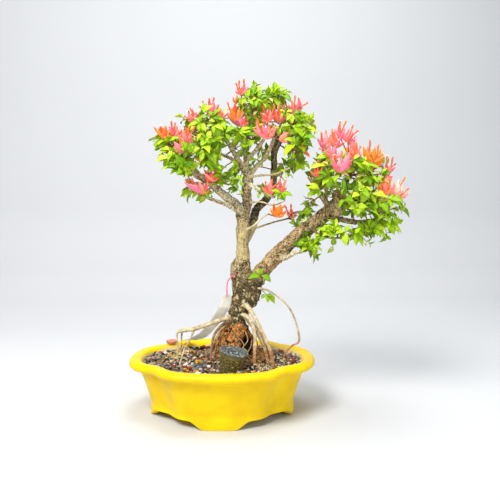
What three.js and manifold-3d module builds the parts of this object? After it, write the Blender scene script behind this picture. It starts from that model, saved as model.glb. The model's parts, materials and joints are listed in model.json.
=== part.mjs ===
// A bougainvillea bonsai in a four-lobed yellow pot, in millimetres with +Z up.
// The pieces are laid out round the middle of the pot, which stands on z = 0, with the front towards -Y.
// At the end the group is moved so that its origin is the bottom centre of its bounding box.

import * as THREE from 'three';
import { mergeVertices } from 'three/addons/utils/BufferGeometryUtils.js';
import Module from 'manifold-3d';

const wasm = await Module();
wasm.setup();

const DEGREE = Math.PI / 180;
const GOLDEN_TURN = 2.399963;
const GAP = 0.3; // clearance between touching pieces

// Pot: half lengths and half depths at the heights that shape its wall
const POT_SIDES = 40;
const POT_SQUARENESS = 2.2;
const POT_TURN = -3.5 * DEGREE; // how the pot stands under the tree
const LOBE_INDENT = 0.09;
const LOBE_ANGLE = 43 * DEGREE;
const LOBE_WIDTH = 13 * DEGREE;
const FOOT_RISE = 10.2;
const FRONT_FOOT = [19, 40]; // flat half width, and where the skirt is fully raised
const END_FOOT = [22, 41];
const UNDERSIDE_Z = 12;
const FLOOR_Z = 17.5;
const POT_OUTSIDE = [
  [98, 79.5, 17],
  [113, 89.3, 62],
  [122, 95.2, 63.3],
  [127, 100, 68.4],
  [124.3, 97.3, 73.6],
  [118, 90.5, 75.2],
  [110.5, 82.4, 73.4],
];
const POT_INSIDE = [
  [94, 71.5, FLOOR_Z],
  [108.5, 79.9, 70.2],
];
const SKIRT_OUTER = [97.5, 79];
const SKIRT_INNER = [91, 72.5];
const DRAIN_X = 48;
const DRAIN_RADIUS = 9;
const DRAIN_SIDES = 12;

// Soil and what lies on it
const SOIL_Z = 66;
const SOIL_CROWN = 4;
const SCREEN_SIZE = 30;
const SCREEN_THICK = 1.2;
const SCREEN_HOLES = 2;
const SCREEN_HOLE = 8;
const STONES = { // centre, half sizes and colour of each
  stone_salmon: [[-76, 61, 79], [9, 6.5, 4.6], 0xc2654a],
  stone_pale: [[-52, 36, 69], [8, 7, 5.5], 0xc9b48c],
  bark_strip: [[-31, 60, 69.5], [14, 4, 3.5], 0x6b2f1e],
};

// Fertiliser basket
const BASKET_FOOT = [9, -52, 65];
const BASKET_TILT = [4, 11]; // degrees about X and about Y
const BASKET_HEIGHT = 27;
const BASKET_RADIUS = [14, 17.2];
const BASKET_WALL = 1.6;
const BASKET_SIDES = 12;
const SLOTS_ROUND = 6;
const SLOT_HEIGHTS = [9, 17];
const SLOT_SIZE = [12, 3, 3];
const LID_RADIUS = 18.5;
const LID_EDGE = 2;
const LID_CHAMFER = [3, 3]; // how far in and how high the lid's bevel ends
const LID_HOLES_ROUND = 6;
const LID_HOLE = 3.2;
const LID_HOLE_RADIUS = 9;
const PELLETS_SHOULDER = 6; // below the mouth
const PELLETS_TOP = [9, 3]; // radius, and how far below the mouth

// Label and its wire
const LABEL_WIDTH = 13.5;
const LABEL_THICK = 0.9;
const LABEL_STEPS = 28;
const EYE_RADIUS = 2;
const WIRE_RADIUS = 0.8;
const LABEL_LINE = [
  [6, -10, 160], [5, -5, 148], [0, 2, 137], [-6, 10, 125], [-14, 20, 113], [-27, 36, 95.5], [-42, 55, 83.5],
  [-58, 72, 78],
];
const LABEL_EYE = [6, -10, 157];
const WIRE_LINE = [
  [18.5, -11.5, 189], [13, -15, 186], [8, -17, 180], [6, -18, 173], [6, -18, 164], [6, -14, 158.5],
  [6, -8, 156.6],
  [6.5, -4, 159],
];

// Foliage
const BLADE_HALF = 0.9; // half of a blade's thickness where it leaves its centre
const NOTCH_RADIUS = 1.5;
const RING_RADIUS = 1;
const LEAF_OUTLINE = [[0.4, -0.5], [0.74, -0.34], [1, 0], [0.74, 0.34], [0.4, 0.5]];
const SMALL_LEAF_OUTLINE = [[0.48, -0.5], [1, 0], [0.48, 0.5]];
const BRACT_OUTLINE = [[0.55, -0.5], [1, 0], [0.55, 0.5]];
const TUBE_OUTLINE = [[0.93, -0.5], [1, 0], [0.93, 0.5]];
const TUBE_WIDTH = 2.6;
const SMALL_BLOOM = 21; // blooms with a smaller span have one tier of bracts
const BENDS = [[0, 1], [26, 1], [-24, 1], [48, 1], [0, 0.68], [30, 0.68]];
const STEM_RADIUS = 1.2;
const TWIG_RADIUS = 0.95;
const HUB_REACH = 8; // least distance from a branch to where a spray's twigs part
const UPPER_TIER = 6; // how far the small leaves stand above the large ones
const ROOT_TRIES = 80; // places on the branches where a stem may start
const HEAD_TRIES = 12; // places round a pad where a leaf head may stand
const LONG_LEAF = { share: 0.16, extra: 6 };
// Lengths and rises are a least value and a range, and limits are in degrees
const LEAF_TIERS = [
  { outline: LEAF_OUTLINE, long: [13, 7], rise: [-8, 34], limits: [-34, 32] },
  { outline: SMALL_LEAF_OUTLINE, long: [8, 5], rise: [36, 20], limits: [34, 62] },
];
const BRACT_TIERS = [
  { rise: [14, 20], share: 0.6, limits: [-20, 36] },
  { rise: [44, 14], share: 0.58, limits: [42, 60] },
  { rise: [69, 7], share: 0.7, limits: [68, 78] },
];
const WIDE_BLOOM = 24; // blooms with a larger span have four bracts in their lowest tier

// Wood: each limb is a line of points with a radius, and starts inside what it grows from.
// The flag after the sides tells branches, which carry shoots, from trunks and roots.
const LIMBS = {
  trunk: [7, 1, [24, 0, 60, 27], [21, 0, 88, 25], [20, 0, 112, 17], [20, 0, 126, 11], [24, 0, 142, 14],
    [30, 0, 158, 18.5], [29, 0, 173, 17], [28, 0, 190, 12.3], [28, 0, 209, 10], [28, 1, 234, 8.6],
    [28, 2, 258, 9], [29, 3, 273, 9.6], [34, 3, 284, 7], [33, 3, 299, 7.2], [35, 4, 316, 7.9],
    [34, 4, 330, 5.5]],
  right_trunk: [7, 1, [28, 0, 162, 12], [42, -2, 173, 12], [54, -4, 190, 11.3], [72, -7, 211, 10.8],
    [89, -10, 228, 10.5], [108, -13, 245, 10.4], [126, -15, 258, 10.1], [142, -17, 272, 10],
    [153, -18, 284, 8]],
  left_branch: [5, 1, [28, 2, 271, 6.9], [19, -2, 283, 6.1], [4, -8, 293, 5.8], [-10, -12, 305, 5.4],
    [-23, -16, 315, 5], [-33, -19, 320, 4.7], [-42, -22, 329, 4], [-53, -24, 343, 2.6]],
  left_low_branch: [4, 1, [27, -2, 271, 3.4], [19, -10, 274, 3], [4, -16, 282, 2.7], [-8, -22, 286, 2.7],
    [-24, -29, 292, 2.2]],
  left_upper_branch: [5, 1, [33, 4, 327, 4.1], [19, -2, 347, 3.5], [9, -6, 363, 3.3], [0, -8, 373, 3],
    [-16, -10, 391, 2]],
  crown_front_branch: [5, 1, [33, 4, 328, 3.4], [34, -2, 340, 3.1], [44, -9, 353, 3], [56, -14, 369, 2.4],
    [61, -16, 385, 1.7]],
  crown_right_branch: [5, 1, [37, 2, 322, 3.8], [47, -7, 334, 3.4], [57, -13, 344, 3], [65, -17, 359, 2.7],
    [70, -19, 372, 2.3], [78, -20, 388, 1.7]],
  back_branch: [5, 1, [33, 4, 233, 5.5], [42, 14, 253, 6.3], [48, 24, 275, 6], [63, 32, 291, 5.7],
    [73, 36, 311, 5.4], [75, 40, 340, 5.1], [75, 42, 362, 4.4], [82, 44, 380, 3.6], [91, 44, 400, 2.2]],
  back_fork: [4, 1, [73, 36, 311, 3.6], [75, 28, 329, 2.9], [76, 22, 357, 2.5], [87, 14, 377, 2.1]],
  back_left_branch: [4, 1, [34, 4, 322, 3.6], [22, 20, 340, 3], [4, 30, 352, 2.6], [-24, 30, 358, 2]],
  crown_branch: [5, 1, [34, 5, 327, 4.1], [32, 10, 350, 3.5], [30, 12, 374, 3.1], [39, 12, 398, 2.4],
    [46, 10, 412, 1.8]],
  right_twig: [4, 1, [38, -2, 319, 2], [51, -8, 321, 1.8], [70, -16, 322, 1.6], [90, -22, 330, 1.5]],
  pale_stub: [4, 1, [37, 0, 310, 2.7], [56, -10, 299, 2.4], [70, -16, 291, 2.1]],
  front_stub: [4, 1, [32, -3, 247, 2], [43, -12, 254, 1.8], [53, -18, 264, 1.6], [61, -21, 269, 1.4]],
  thin_branch: [4, 1, [33, 2, 245, 1.7], [47, 8, 250, 1.6], [72, 14, 258, 1.5], [92, 18, 263, 1.4]],
  right_cut_branch: [4, 1, [145, -17, 276, 2.8], [131, -24, 294, 2.3], [121, -27, 308, 2.1],
    [113, -28, 318, 1.8]],
  right_upper_branch: [5, 1, [150, -18, 280, 6], [158, -20, 293, 5.3], [164, -22, 309, 4],
    [170, -23, 328, 2.4]],
  right_back_branch: [5, 1, [151, -14, 279, 5.4], [168, -4, 288, 4.1], [186, 8, 301, 3.4],
    [200, 18, 318, 2.4]],
  right_middle_branch: [4, 1, [152, -20, 276, 3.4], [169, -28, 280, 2.5], [189, -33, 283, 2]],
  right_low_branch: [5, 1, [142, -16, 268, 4.7], [159, -14, 262, 4], [187, -12, 258, 3.6],
    [212, -12, 262, 2.6]],
  right_bottom_twig: [4, 1, [118, -20, 250, 1.8], [132, -26, 240, 1.6], [152, -28, 237, 1.4],
    [170, -28, 241, 1.3]],
  under_branch: [4, 1, [74, -8, 212, 3.4], [83, -16, 209, 2.7], [97, -22, 217, 2.3], [108, -24, 219, 1.9]],
  callus: [5, 0, [24, -2, 176, 5], [19, -3, 183, 7.5], [18, -3, 196, 7.5], [22, -2, 207, 5]],
  burl: [5, 0, [156, -21, 270, 5], [163, -22, 279, 6], [164, -22, 288, 4.5]],
  aerial_root: [3, 0, [42, -6, 169, 2.6], [61, -16, 166, 1.5], [78, -18, 155, 1.4], [91, -17, 141, 1.4],
    [101, -14, 118, 1.5], [105, -10, 95, 1.6], [96, -8, 88, 1.5], [86, -6, 76, 1.5], [83, -4, 56, 1.4]],
  left_root: [5, 0, [19, 0, 133, 5.5], [7, -4, 127, 3.8], [-12, -9, 122, 3.4], [-35, -14, 115, 3.1],
    [-49, -18, 113, 2.9], [-56, -20, 107, 2.3], [-56, -22, 86, 1.9], [-56, -22, 58, 1.6]],
  left_root_drop: [3, 0, [-50, -17, 114, 2], [-60, -13, 110, 1.5], [-62, -12, 92, 1.3], [-62, -12, 58, 1.2]],
  rootlet: [3, 0, [-38, -15, 114, 1.6], [-44, -21, 101, 1.3], [-52, -27, 86, 1.3], [-60, -32, 58, 1.2]],
  mound_left_root: [4, 0, [13, -8, 125, 3.8], [-2, -15, 118, 2.9], [-12, -20, 105, 2.5], [-15, -24, 86, 2.2],
    [-16, -26, 58, 2]],
  front_root: [4, 0, [28, -12, 150, 4.5], [37, -18, 140, 3.4], [46, -24, 125, 3], [56, -30, 104, 2.8],
    [64, -36, 84, 2.5], [69, -39, 58, 2.3]],
  middle_root: [4, 0, [25, -8, 134, 4], [37, -20, 127, 2.9], [43, -28, 107, 2.7], [42, -34, 87, 2.5],
    [41, -37, 58, 2.3]],
  right_root: [4, 0, [27, -7, 133, 3.4], [38, -13, 121, 3], [48, -18, 106, 2.7], [57, -22, 86, 2.5],
    [63, -25, 58, 2.2]],
  back_root: [4, 0, [25, 7, 134, 4.9], [42, 22, 112, 4.2], [58, 28, 88, 3.9], [76, 32, 56, 3.4]],
  back_left_root: [4, 0, [14, 12, 128, 4.5], [0, 22, 106, 3.6], [-12, 30, 84, 3.2], [-22, 36, 56, 2.8]],
};

// Root mound: centre x, height, half width and half depth of each level
const MOUND = [[24, 56, 38, 33], [22, 75, 33, 30], [19, 95, 27, 25], [19, 112, 19, 18], [20, 124, 11, 11]];
const MOUND_SIDES = 12;
const MOUND_FLUTES = 6;

// Leafy sprays: each pad is its middle, its radius and the number of leaf heads on it
const SPRAYS = {
  leaves_left_tip: [[-72, -12, 361, 9, 3]],
  leaves_left_top: [[-38, -4, 386, 12, 3]],
  leaves_left_front: [[-48, -38, 337, 12, 3]],
  leaves_left_middle: [[-19, -38, 352, 12, 3]],
  leaves_left_crown: [[-6, -14, 388, 12, 3]],
  leaves_left_back: [[-54, 26, 360, 14, 3]],
  leaves_left_back_crown: [[-14, 38, 378, 14, 3]],
  leaves_left_low: [[-38, -30, 299, 7, 2]],
  leaves_trunk_left: [[5, -22, 312, 8, 2]],
  leaves_crown_top: [[36, 0, 424, 11, 1], [70, -4, 422, 12, 3]],
  leaves_crown_front: [[36, -34, 364, 12, 3]],
  leaves_crown_back: [[56, 38, 414, 14, 3]],
  leaves_crown_right: [[102, -22, 384, 12, 3], [96, -28, 352, 9, 1]],
  leaves_crown_right_back: [[108, 40, 378, 14, 3]],
  leaves_inner_back: [[24, 46, 368, 13, 2]],
  leaves_right_left: [[128, -30, 325, 11, 2]],
  leaves_right_middle: [[166, -42, 318, 12, 3]],
  leaves_right_front: [[168, -54, 287, 12, 3]],
  leaves_right_top: [[206, -20, 324, 13, 3]],
  leaves_right_tip: [[229, -22, 280, 12, 3], [224, -18, 253, 9, 2]],
  leaves_right_low: [[142, -42, 236, 10, 2], [188, -34, 240, 9, 2]],
  leaves_right_back: [[182, 34, 338, 15, 3], [206, 36, 286, 14, 2]],
  leaves_right_inner: [[117, -26, 284, 9, 2]],
  leaves_under_trunk: [[117, -28, 222, 7, 2]],
  leaves_sprout: [[51, -20, 187, 3, 1]],
};

// Blooms: each is its middle and its span, and those in one row share a forked stem and a main colour
const BRACT_COLORS = { pink: 0xf2607e, coral: 0xf26a45, orange: 0xf0853c };
const BLOOMS = {
  bloom_left_tip: ['orange', [-76, -25, 376, 21], [-62, -15, 383, 19], [-77, -8, 356, 14]],
  bloom_left_front: ['pink', [-42, -40, 371, 22], [-56, -42, 357, 18]],
  bloom_left_top: ['pink', [-38, -20, 399, 20], [-13, -15, 412, 28], [2, -30, 399, 14]],
  bloom_crown_left: ['pink', [17, -30, 412, 24], [25, -44, 390, 30], [27, -5, 440, 20]],
  bloom_crown_right: ['coral', [58, -34, 398, 22], [76, -24, 404, 22], [100, -12, 413, 26]],
  bloom_crown_middle: ['pink', [54, -46, 375, 28], [82, -42, 371, 16]],
  bloom_left_low: ['coral', [-14, -30, 320, 20], [-32, -36, 308, 27]],
  bloom_inner: ['coral', [63, -28, 307, 17], [78, -24, 308, 16]],
  bloom_orange: ['orange', [72, -28, 273, 20]],
  bloom_thin_branch: ['pink', [100, 18, 274, 15]],
  bloom_right_left: ['pink', [134, -30, 366, 21], [146, -38, 358, 20], [121, -44, 330, 15]],
  bloom_right_top: ['pink', [154, -22, 381, 20], [168, -28, 374, 20], [172, -42, 350, 18]],
  bloom_right_front: ['pink', [140, -54, 348, 21], [150, -62, 333, 27]],
  bloom_right_orange: ['orange', [199, -32, 350, 32], [224, -15, 336, 21]],
  bloom_right_tip: ['coral', [211, -48, 304, 20], [231, -34, 303, 25]],
  bloom_back_left: ['coral', [-66, 40, 384, 22], [-30, 50, 350, 22]],
  bloom_back_crown: ['pink', [-8, 44, 410, 27], [50, 48, 436, 24]],
  bloom_back_right: ['coral', [104, 54, 402, 27]],
  bloom_back_canopy: ['pink', [150, 32, 358, 22], [192, 50, 366, 27], [238, 36, 322, 25]],
};

// Numbers between 0 and 1 that depend only on the four whole numbers given
function draw(a, b, c, d) {
  let h = Math.imul(a + 1, 374761393) ^ Math.imul(b + 1, 668265263);
  h ^= Math.imul(c + 1, 1274126177) ^ Math.imul(d + 1, 461845907);
  h = Math.imul(h ^ (h >>> 15), 2246822519);
  h = Math.imul(h ^ (h >>> 13), 3266489917);
  return ((h ^ (h >>> 16)) >>> 0) / 4294967296;
}

function vec(x, y, z) {
  return new THREE.Vector3(x, y, z);
}

function geometryOf(points, faces) {
  const geometry = new THREE.BufferGeometry();
  const places = points.flatMap((p) => [p.x, p.y, p.z]);
  geometry.setAttribute('position', new THREE.Float32BufferAttribute(places, 3));
  geometry.setIndex(faces.flat());
  return geometry;
}

// A closed body through rings of equal length, fanned shut at both ends
function loft(rings) {
  const sides = rings[0].length;
  const faces = [];
  for (let row = 0; row + 1 < rings.length; row += 1) {
    for (let i = 0; i < sides; i += 1) {
      const j = (i + 1) % sides;
      const low = row * sides;
      const high = low + sides;
      faces.push([low + i, low + j, high + j], [low + i, high + j, high + i]);
    }
  }
  const last = (rings.length - 1) * sides;
  for (let i = 1; i + 1 < sides; i += 1) {
    faces.push([0, i + 1, i], [last, last + i, last + i + 1]);
  }
  return geometryOf(rings.flat(), faces);
}

function toSolid(geometry) {
  const bare = geometry.clone();
  bare.deleteAttribute('normal');
  bare.deleteAttribute('uv');
  const merged = mergeVertices(bare, 1e-4);
  const index = [];
  for (let i = 0; i < merged.index.count; i += 3) {
    const face = [0, 1, 2].map((k) => merged.index.getX(i + k));
    if (new Set(face).size === 3) index.push(...face);
  }
  const mesh = new wasm.Mesh({
    numProp: 3,
    vertProperties: new Float32Array(merged.attributes.position.array),
    triVerts: new Uint32Array(index),
  });
  return new wasm.Manifold(mesh);
}

function union(solids) {
  return solids.reduce((sum, next) => sum.add(next));
}

// The largest body of a solid, without the scraps that a cut leaves
function mainBody(solid) {
  const bodies = solid.decompose();
  return bodies.reduce((best, next) => (next.volume() > best.volume() ? next : best));
}

const group = new THREE.Group();

function toGeometry(solid) {
  const result = solid.getMesh();
  const geometry = new THREE.BufferGeometry();
  geometry.setAttribute('position', new THREE.Float32BufferAttribute(result.vertProperties, 3));
  geometry.setIndex(Array.from(result.triVerts));
  return geometry;
}

// Joined foliage again as one body, once its vertices are rounded and merged
function settled(solid) {
  let body = mainBody(solid);
  for (let pass = 0; pass < 2; pass += 1) body = mainBody(toSolid(toGeometry(body)));
  return body;
}

function addPiece(name, solid, color, roughness) {
  const geometry = toGeometry(solid);
  const mesh = new THREE.Mesh(geometry, new THREE.MeshStandardMaterial({ color, roughness, metalness: 0 }));
  mesh.name = name;
  group.add(mesh);
}

// A tapered tube through points [x, y, z, radius], with a turned frame carried along the line
function tube(points, sides, grow = 0) {
  const spots = points.map(([x, y, z]) => vec(x, y, z));
  const rings = [];
  let across = null;
  spots.forEach((spot, i) => {
    const before = spots[Math.max(i - 1, 0)];
    const after = spots[Math.min(i + 1, spots.length - 1)];
    const along = after.clone().sub(before).normalize();
    if (!across) across = Math.abs(along.z) > 0.9 ? vec(1, 0, 0) : vec(0, 0, 1);
    across = across.clone().addScaledVector(along, -across.dot(along)).normalize();
    const side = along.clone().cross(across);
    const ring = [];
    for (let k = 0; k < sides; k += 1) {
      const turn = (k / sides) * 2 * Math.PI;
      const reach = points[i][3] + grow;
      ring.push(spot.clone()
        .addScaledVector(across, Math.cos(turn) * reach)
        .addScaledVector(side, Math.sin(turn) * reach));
    }
    rings.push(ring);
  });
  return toSolid(loft(rings));
}

// Pot and soil share this four-lobed outline
function lobedRing(halfLength, halfDepth, height) {
  const ring = [];
  for (let i = 0; i < POT_SIDES; i += 1) {
    const turn = (i / POT_SIDES) * 2 * Math.PI;
    const c = Math.cos(turn);
    const s = Math.sin(turn);
    const fromAxis = Math.atan2(Math.abs(s), Math.abs(c));
    const pull = 1 - LOBE_INDENT * Math.exp(-(((fromAxis - LOBE_ANGLE) / LOBE_WIDTH) ** 2));
    const x = Math.sign(c) * Math.abs(c) ** (2 / POT_SQUARENESS) * halfLength * pull;
    const y = Math.sign(s) * Math.abs(s) ** (2 / POT_SQUARENESS) * halfDepth * pull;
    const z = typeof height === 'function' ? height(x, y) : height;
    ring.push(vec(x, y, z).applyAxisAngle(vec(0, 0, 1), POT_TURN));
  }
  return ring;
}

// Height of the skirt's lower edge: nothing at the middle of each lobe, raised between the feet
function skirtHeight(x, y) {
  const front = THREE.MathUtils.smoothstep(Math.abs(x), ...FRONT_FOOT);
  const end = THREE.MathUtils.smoothstep(Math.abs(y), ...END_FOOT);
  return FOOT_RISE * Math.min(front, end);
}

function makePot() {
  const rings = [
    lobedRing(...SKIRT_INNER, UNDERSIDE_Z),
    lobedRing(...SKIRT_INNER, skirtHeight),
    lobedRing(...SKIRT_OUTER, skirtHeight),
    ...POT_OUTSIDE.map((level) => lobedRing(...level)),
    ...[...POT_INSIDE].reverse().map((level) => lobedRing(...level)),
  ];
  const body = toSolid(loft(rings));
  const drains = [-DRAIN_X, DRAIN_X].map((x) => {
    const hole = new THREE.CylinderGeometry(DRAIN_RADIUS, DRAIN_RADIUS, FLOOR_Z, DRAIN_SIDES);
    hole.rotateX(Math.PI / 2);
    hole.translate(x, 0, FLOOR_Z);
    return toSolid(hole);
  });
  return body.subtract(union(drains));
}

function screenBlank(x, grow) {
  const side = SCREEN_SIZE + 2 * grow;
  const box = new THREE.BoxGeometry(side, side, SCREEN_THICK + 2 * grow);
  box.translate(x, 0, FLOOR_Z + GAP + SCREEN_THICK / 2);
  return toSolid(box);
}

function makeScreen(x) {
  let plate = screenBlank(x, 0);
  const pitch = SCREEN_SIZE / SCREEN_HOLES;
  for (let i = 0; i < SCREEN_HOLES; i += 1) {
    for (let j = 0; j < SCREEN_HOLES; j += 1) {
      const hole = new THREE.BoxGeometry(SCREEN_HOLE, SCREEN_HOLE, 8);
      const offset = [i, j].map((k) => (k - (SCREEN_HOLES - 1) / 2) * pitch);
      hole.translate(x + offset[0], offset[1], FLOOR_Z);
      plate = plate.subtract(toSolid(hole));
    }
  }
  return plate;
}

// Soil: fills the pot and rises a little towards the trunk, with low lumps on its top
function makeSoil() {
  const [low, high] = POT_INSIDE.map(([a, b, z]) => [a - GAP, b - GAP, z]);
  const share = (SOIL_Z - low[2]) / (high[2] - low[2]);
  const edge = [0, 1].map((k) => low[k] + (high[k] - low[k]) * share);
  const rings = [lobedRing(low[0], low[1], FLOOR_Z + GAP), lobedRing(...edge, SOIL_Z)];
  [0.7, 0.35].forEach((scale, row) => {
    rings.push(lobedRing(edge[0] * scale, edge[1] * scale, (x, y) => {
      const lump = draw(row, Math.round(x) + 200, Math.round(y) + 200, 5) - 0.5;
      return SOIL_Z + SOIL_CROWN * (1 - scale) + lump;
    }));
  });
  return toSolid(loft(rings));
}

function makeMound(grow = 0) {
  const rings = MOUND.map(([x, z, wide, deep], row) => {
    const ring = [];
    for (let i = 0; i < MOUND_SIDES; i += 1) {
      const turn = (i / MOUND_SIDES) * 2 * Math.PI;
      const flute = 1 + 0.07 * Math.cos(MOUND_FLUTES * turn + row * 0.5) + 0.06 * (draw(row, i, 3, 1) - 0.5);
      ring.push(vec(x + Math.cos(turn) * (wide * flute + grow), Math.sin(turn) * (deep * flute + grow), z));
    }
    return ring;
  });
  return toSolid(loft(rings));
}

// A rough stone: a round lump stretched and dented by the seeded rule
function makeStone(centre, half, seed, grow = 0) {
  const ball = new THREE.IcosahedronGeometry(1, 1).deleteAttribute('normal').deleteAttribute('uv');
  const lump = mergeVertices(ball);
  const place = lump.attributes.position;
  for (let i = 0; i < place.count; i += 1) {
    const dent = 1 - 0.22 * draw(seed, i, 0, 0);
    place.setXYZ(i, ...[place.getX(i), place.getY(i), place.getZ(i)].map((v, k) => (
      centre[k] + v * (half[k] * dent + grow))));
  }
  return toSolid(lump);
}

// The basket is made upright round its axis, then leant as the whole stands in the soil
function leanBasket(solid) {
  return solid.rotate([BASKET_TILT[0], BASKET_TILT[1], 0]).translate(BASKET_FOOT);
}

function lathe(profile, sides) {
  const geometry = new THREE.LatheGeometry(profile.map(([r, z]) => new THREE.Vector2(r, z)), sides);
  geometry.rotateX(Math.PI / 2);
  return toSolid(geometry);
}

function makeCup() {
  const [foot, mouth] = BASKET_RADIUS;
  const profile = [
    [0, 0], [foot, 0], [mouth, BASKET_HEIGHT], [mouth - BASKET_WALL, BASKET_HEIGHT],
    [foot - BASKET_WALL, BASKET_WALL], [0, BASKET_WALL],
  ];
  let cup = lathe(profile, BASKET_SIDES);
  for (const height of SLOT_HEIGHTS) {
    for (let i = 0; i < SLOTS_ROUND; i += 1) {
      const slot = new THREE.BoxGeometry(...SLOT_SIZE);
      slot.translate(foot, 0, height);
      slot.rotateZ(((i + 0.5) / SLOTS_ROUND) * 2 * Math.PI);
      cup = cup.subtract(toSolid(slot));
    }
  }
  return cup;
}

function makeLid() {
  const top = BASKET_HEIGHT + GAP;
  const [inward, high] = LID_CHAMFER;
  const profile = [
    [0, top], [LID_RADIUS, top], [LID_RADIUS, top + LID_EDGE], [LID_RADIUS - inward, top + high],
    [0, top + high - 0.6],
  ];
  let lid = lathe(profile, BASKET_SIDES);
  for (let i = 0; i < LID_HOLES_ROUND; i += 1) {
    const hole = new THREE.BoxGeometry(LID_HOLE, LID_HOLE, 4 * high);
    hole.translate(LID_HOLE_RADIUS, 0, top);
    hole.rotateZ((i / LID_HOLES_ROUND) * 2 * Math.PI);
    lid = lid.subtract(toSolid(hole));
  }
  return lid;
}

function makePellets() {
  const [low, high] = BASKET_RADIUS.map((radius) => radius - BASKET_WALL - GAP);
  const levels = [
    [low, BASKET_WALL + GAP],
    [low + (high - low) * 0.75, BASKET_HEIGHT - PELLETS_SHOULDER],
    [PELLETS_TOP[0], BASKET_HEIGHT - PELLETS_TOP[1]],
  ];
  const rings = levels.map(([radius, z], row) => {
    const ring = [];
    for (let i = 0; i < BASKET_SIDES; i += 1) {
      const turn = (i / BASKET_SIDES) * 2 * Math.PI;
      const reach = radius * (1 - 0.08 * draw(row, i, 7, 7));
      ring.push(vec(Math.cos(turn) * reach, Math.sin(turn) * reach, z));
    }
    return ring;
  });
  return toSolid(loft(rings));
}

function basketBlank(grow) {
  const [foot, mouth] = BASKET_RADIUS;
  return leanBasket(lathe([
    [0, -grow], [foot + grow, -grow], [mouth + grow, BASKET_HEIGHT], [LID_RADIUS + grow, BASKET_HEIGHT],
    [LID_RADIUS + grow, BASKET_HEIGHT + 4], [0, BASKET_HEIGHT + 4],
  ], BASKET_SIDES));
}

// Label: a thin strip that hangs from its wire, passes behind the long root and ends on the back rim.
// It faces the front where it hangs, and turns level across by its lower end.
function makeLabel() {
  const curve = new THREE.CatmullRomCurve3(LABEL_LINE.map((spot) => vec(...spot)));
  const rings = Array.from({ length: LABEL_STEPS + 1 }, (_, i) => {
    const share = i / LABEL_STEPS;
    const spot = curve.getPointAt(share);
    const along = curve.getTangentAt(share);
    const facing = vec(-along.z, 0, along.x).normalize();
    const level = vec(along.y, -along.x, 0).normalize();
    const across = facing.lerp(level, share ** 2).normalize();
    const normal = along.clone().cross(across);
    const corners = [[1, 1], [-1, 1], [-1, -1], [1, -1]];
    return corners.map(([w, t]) => spot.clone()
      .addScaledVector(across, (w * LABEL_WIDTH) / 2)
      .addScaledVector(normal, (t * LABEL_THICK) / 2));
  });
  const eye = new THREE.CylinderGeometry(EYE_RADIUS, EYE_RADIUS, LABEL_WIDTH, 8);
  eye.translate(...LABEL_EYE);
  return toSolid(loft(rings)).subtract(toSolid(eye));
}

// Wood
const woodSolids = Object.values(LIMBS).map(([sides, , ...points]) => tube(points, sides));
const grownWoodSolids = Object.values(LIMBS).map(([sides, , ...points]) => tube(points, sides, GAP));
const grownWood = union([...grownWoodSolids, makeMound(GAP)]);

// Obstacles that blades and stems keep clear of
const obstacles = [];

function boxesMeet(a, b) {
  return [0, 1, 2].every((k) => a.min[k] < b.max[k] && b.min[k] < a.max[k]);
}

function addObstacle(owner, solid) {
  obstacles.push({ owner, solid, box: solid.boundingBox() });
}

// A part of a shoot is tested against all but its own shoot, and a whole shoot only against other nodes,
// because it starts inside its own stem and branch
function isClear(owner, solid, whole = false) {
  const box = solid.boundingBox();
  const skipped = (other) => other.owner === owner
    || (whole && (other.owner === 'wood' || other.owner.startsWith(`${owner} `)));
  return !obstacles.some((other) => (
    !skipped(other) && boxesMeet(box, other.box) && !other.solid.intersect(solid).isEmpty()));
}

// Turned frame with its third axis along a direction
function frameAlong(axis) {
  const up = axis.clone().normalize();
  const hint = Math.abs(up.z) > 0.9 ? vec(1, 0, 0) : vec(0, 0, 1);
  const right = hint.cross(up).normalize();
  return [right, up.clone().cross(right), up];
}

function inFrame(origin, [right, forward, up], x, y, z) {
  return origin.clone().addScaledVector(right, x).addScaledVector(forward, y).addScaledVector(up, z);
}

// Outline points of one blade, from its right side over the tip to its left side
function bladePoints(blade, grow) {
  const c = Math.cos(blade.turn);
  const s = Math.sin(blade.turn);
  const run = Math.cos(blade.rise);
  const climb = Math.sin(blade.rise);
  const long = blade.long + grow;
  const wide = blade.wide + 2 * grow;
  return blade.outline.map(([u, v]) => {
    const lift = Math.abs(v) * 2 * blade.fold - (u === 1 ? blade.droop : 0);
    const out = u * long * run - lift * climb;
    return [c * out - s * v * wide, s * out + c * v * wide, u * long * climb + lift * run];
  });
}

// Outline of a tier of blades, with notches near the centre between them
function tierRim(blades, grow = 0) {
  const rim = [];
  const sorted = [...blades].sort((a, b) => a.turn - b.turn);
  sorted.forEach((blade, i) => {
    rim.push(...bladePoints(blade, grow));
    const next = sorted[(i + 1) % sorted.length].turn + (i + 1 === sorted.length ? 2 * Math.PI : 0);
    const opening = next - blade.turn;
    const notches = Math.ceil(opening / (140 * DEGREE));
    for (let k = 1; k <= notches; k += 1) {
      const turn = blade.turn + (opening * k) / (notches + 1);
      rim.push([Math.cos(turn) * NOTCH_RADIUS, Math.sin(turn) * NOTCH_RADIUS, 0]);
    }
  });
  return rim;
}

// One blade alone, a little larger all round, to test what it would cross
function loneBlade(origin, frame, blade) {
  const half = BLADE_HALF + GAP;
  const rim = tierRim([blade], GAP);
  const points = [[0, 0, half], [0, 0, -half], ...rim].map((p) => inFrame(origin, frame, ...p));
  const faces = rim.flatMap((_, i) => {
    const a = i + 2;
    const b = ((i + 1) % rim.length) + 2;
    return [[0, a, b], [1, b, a]];
  });
  return toSolid(geometryOf(points, faces));
}

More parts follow.
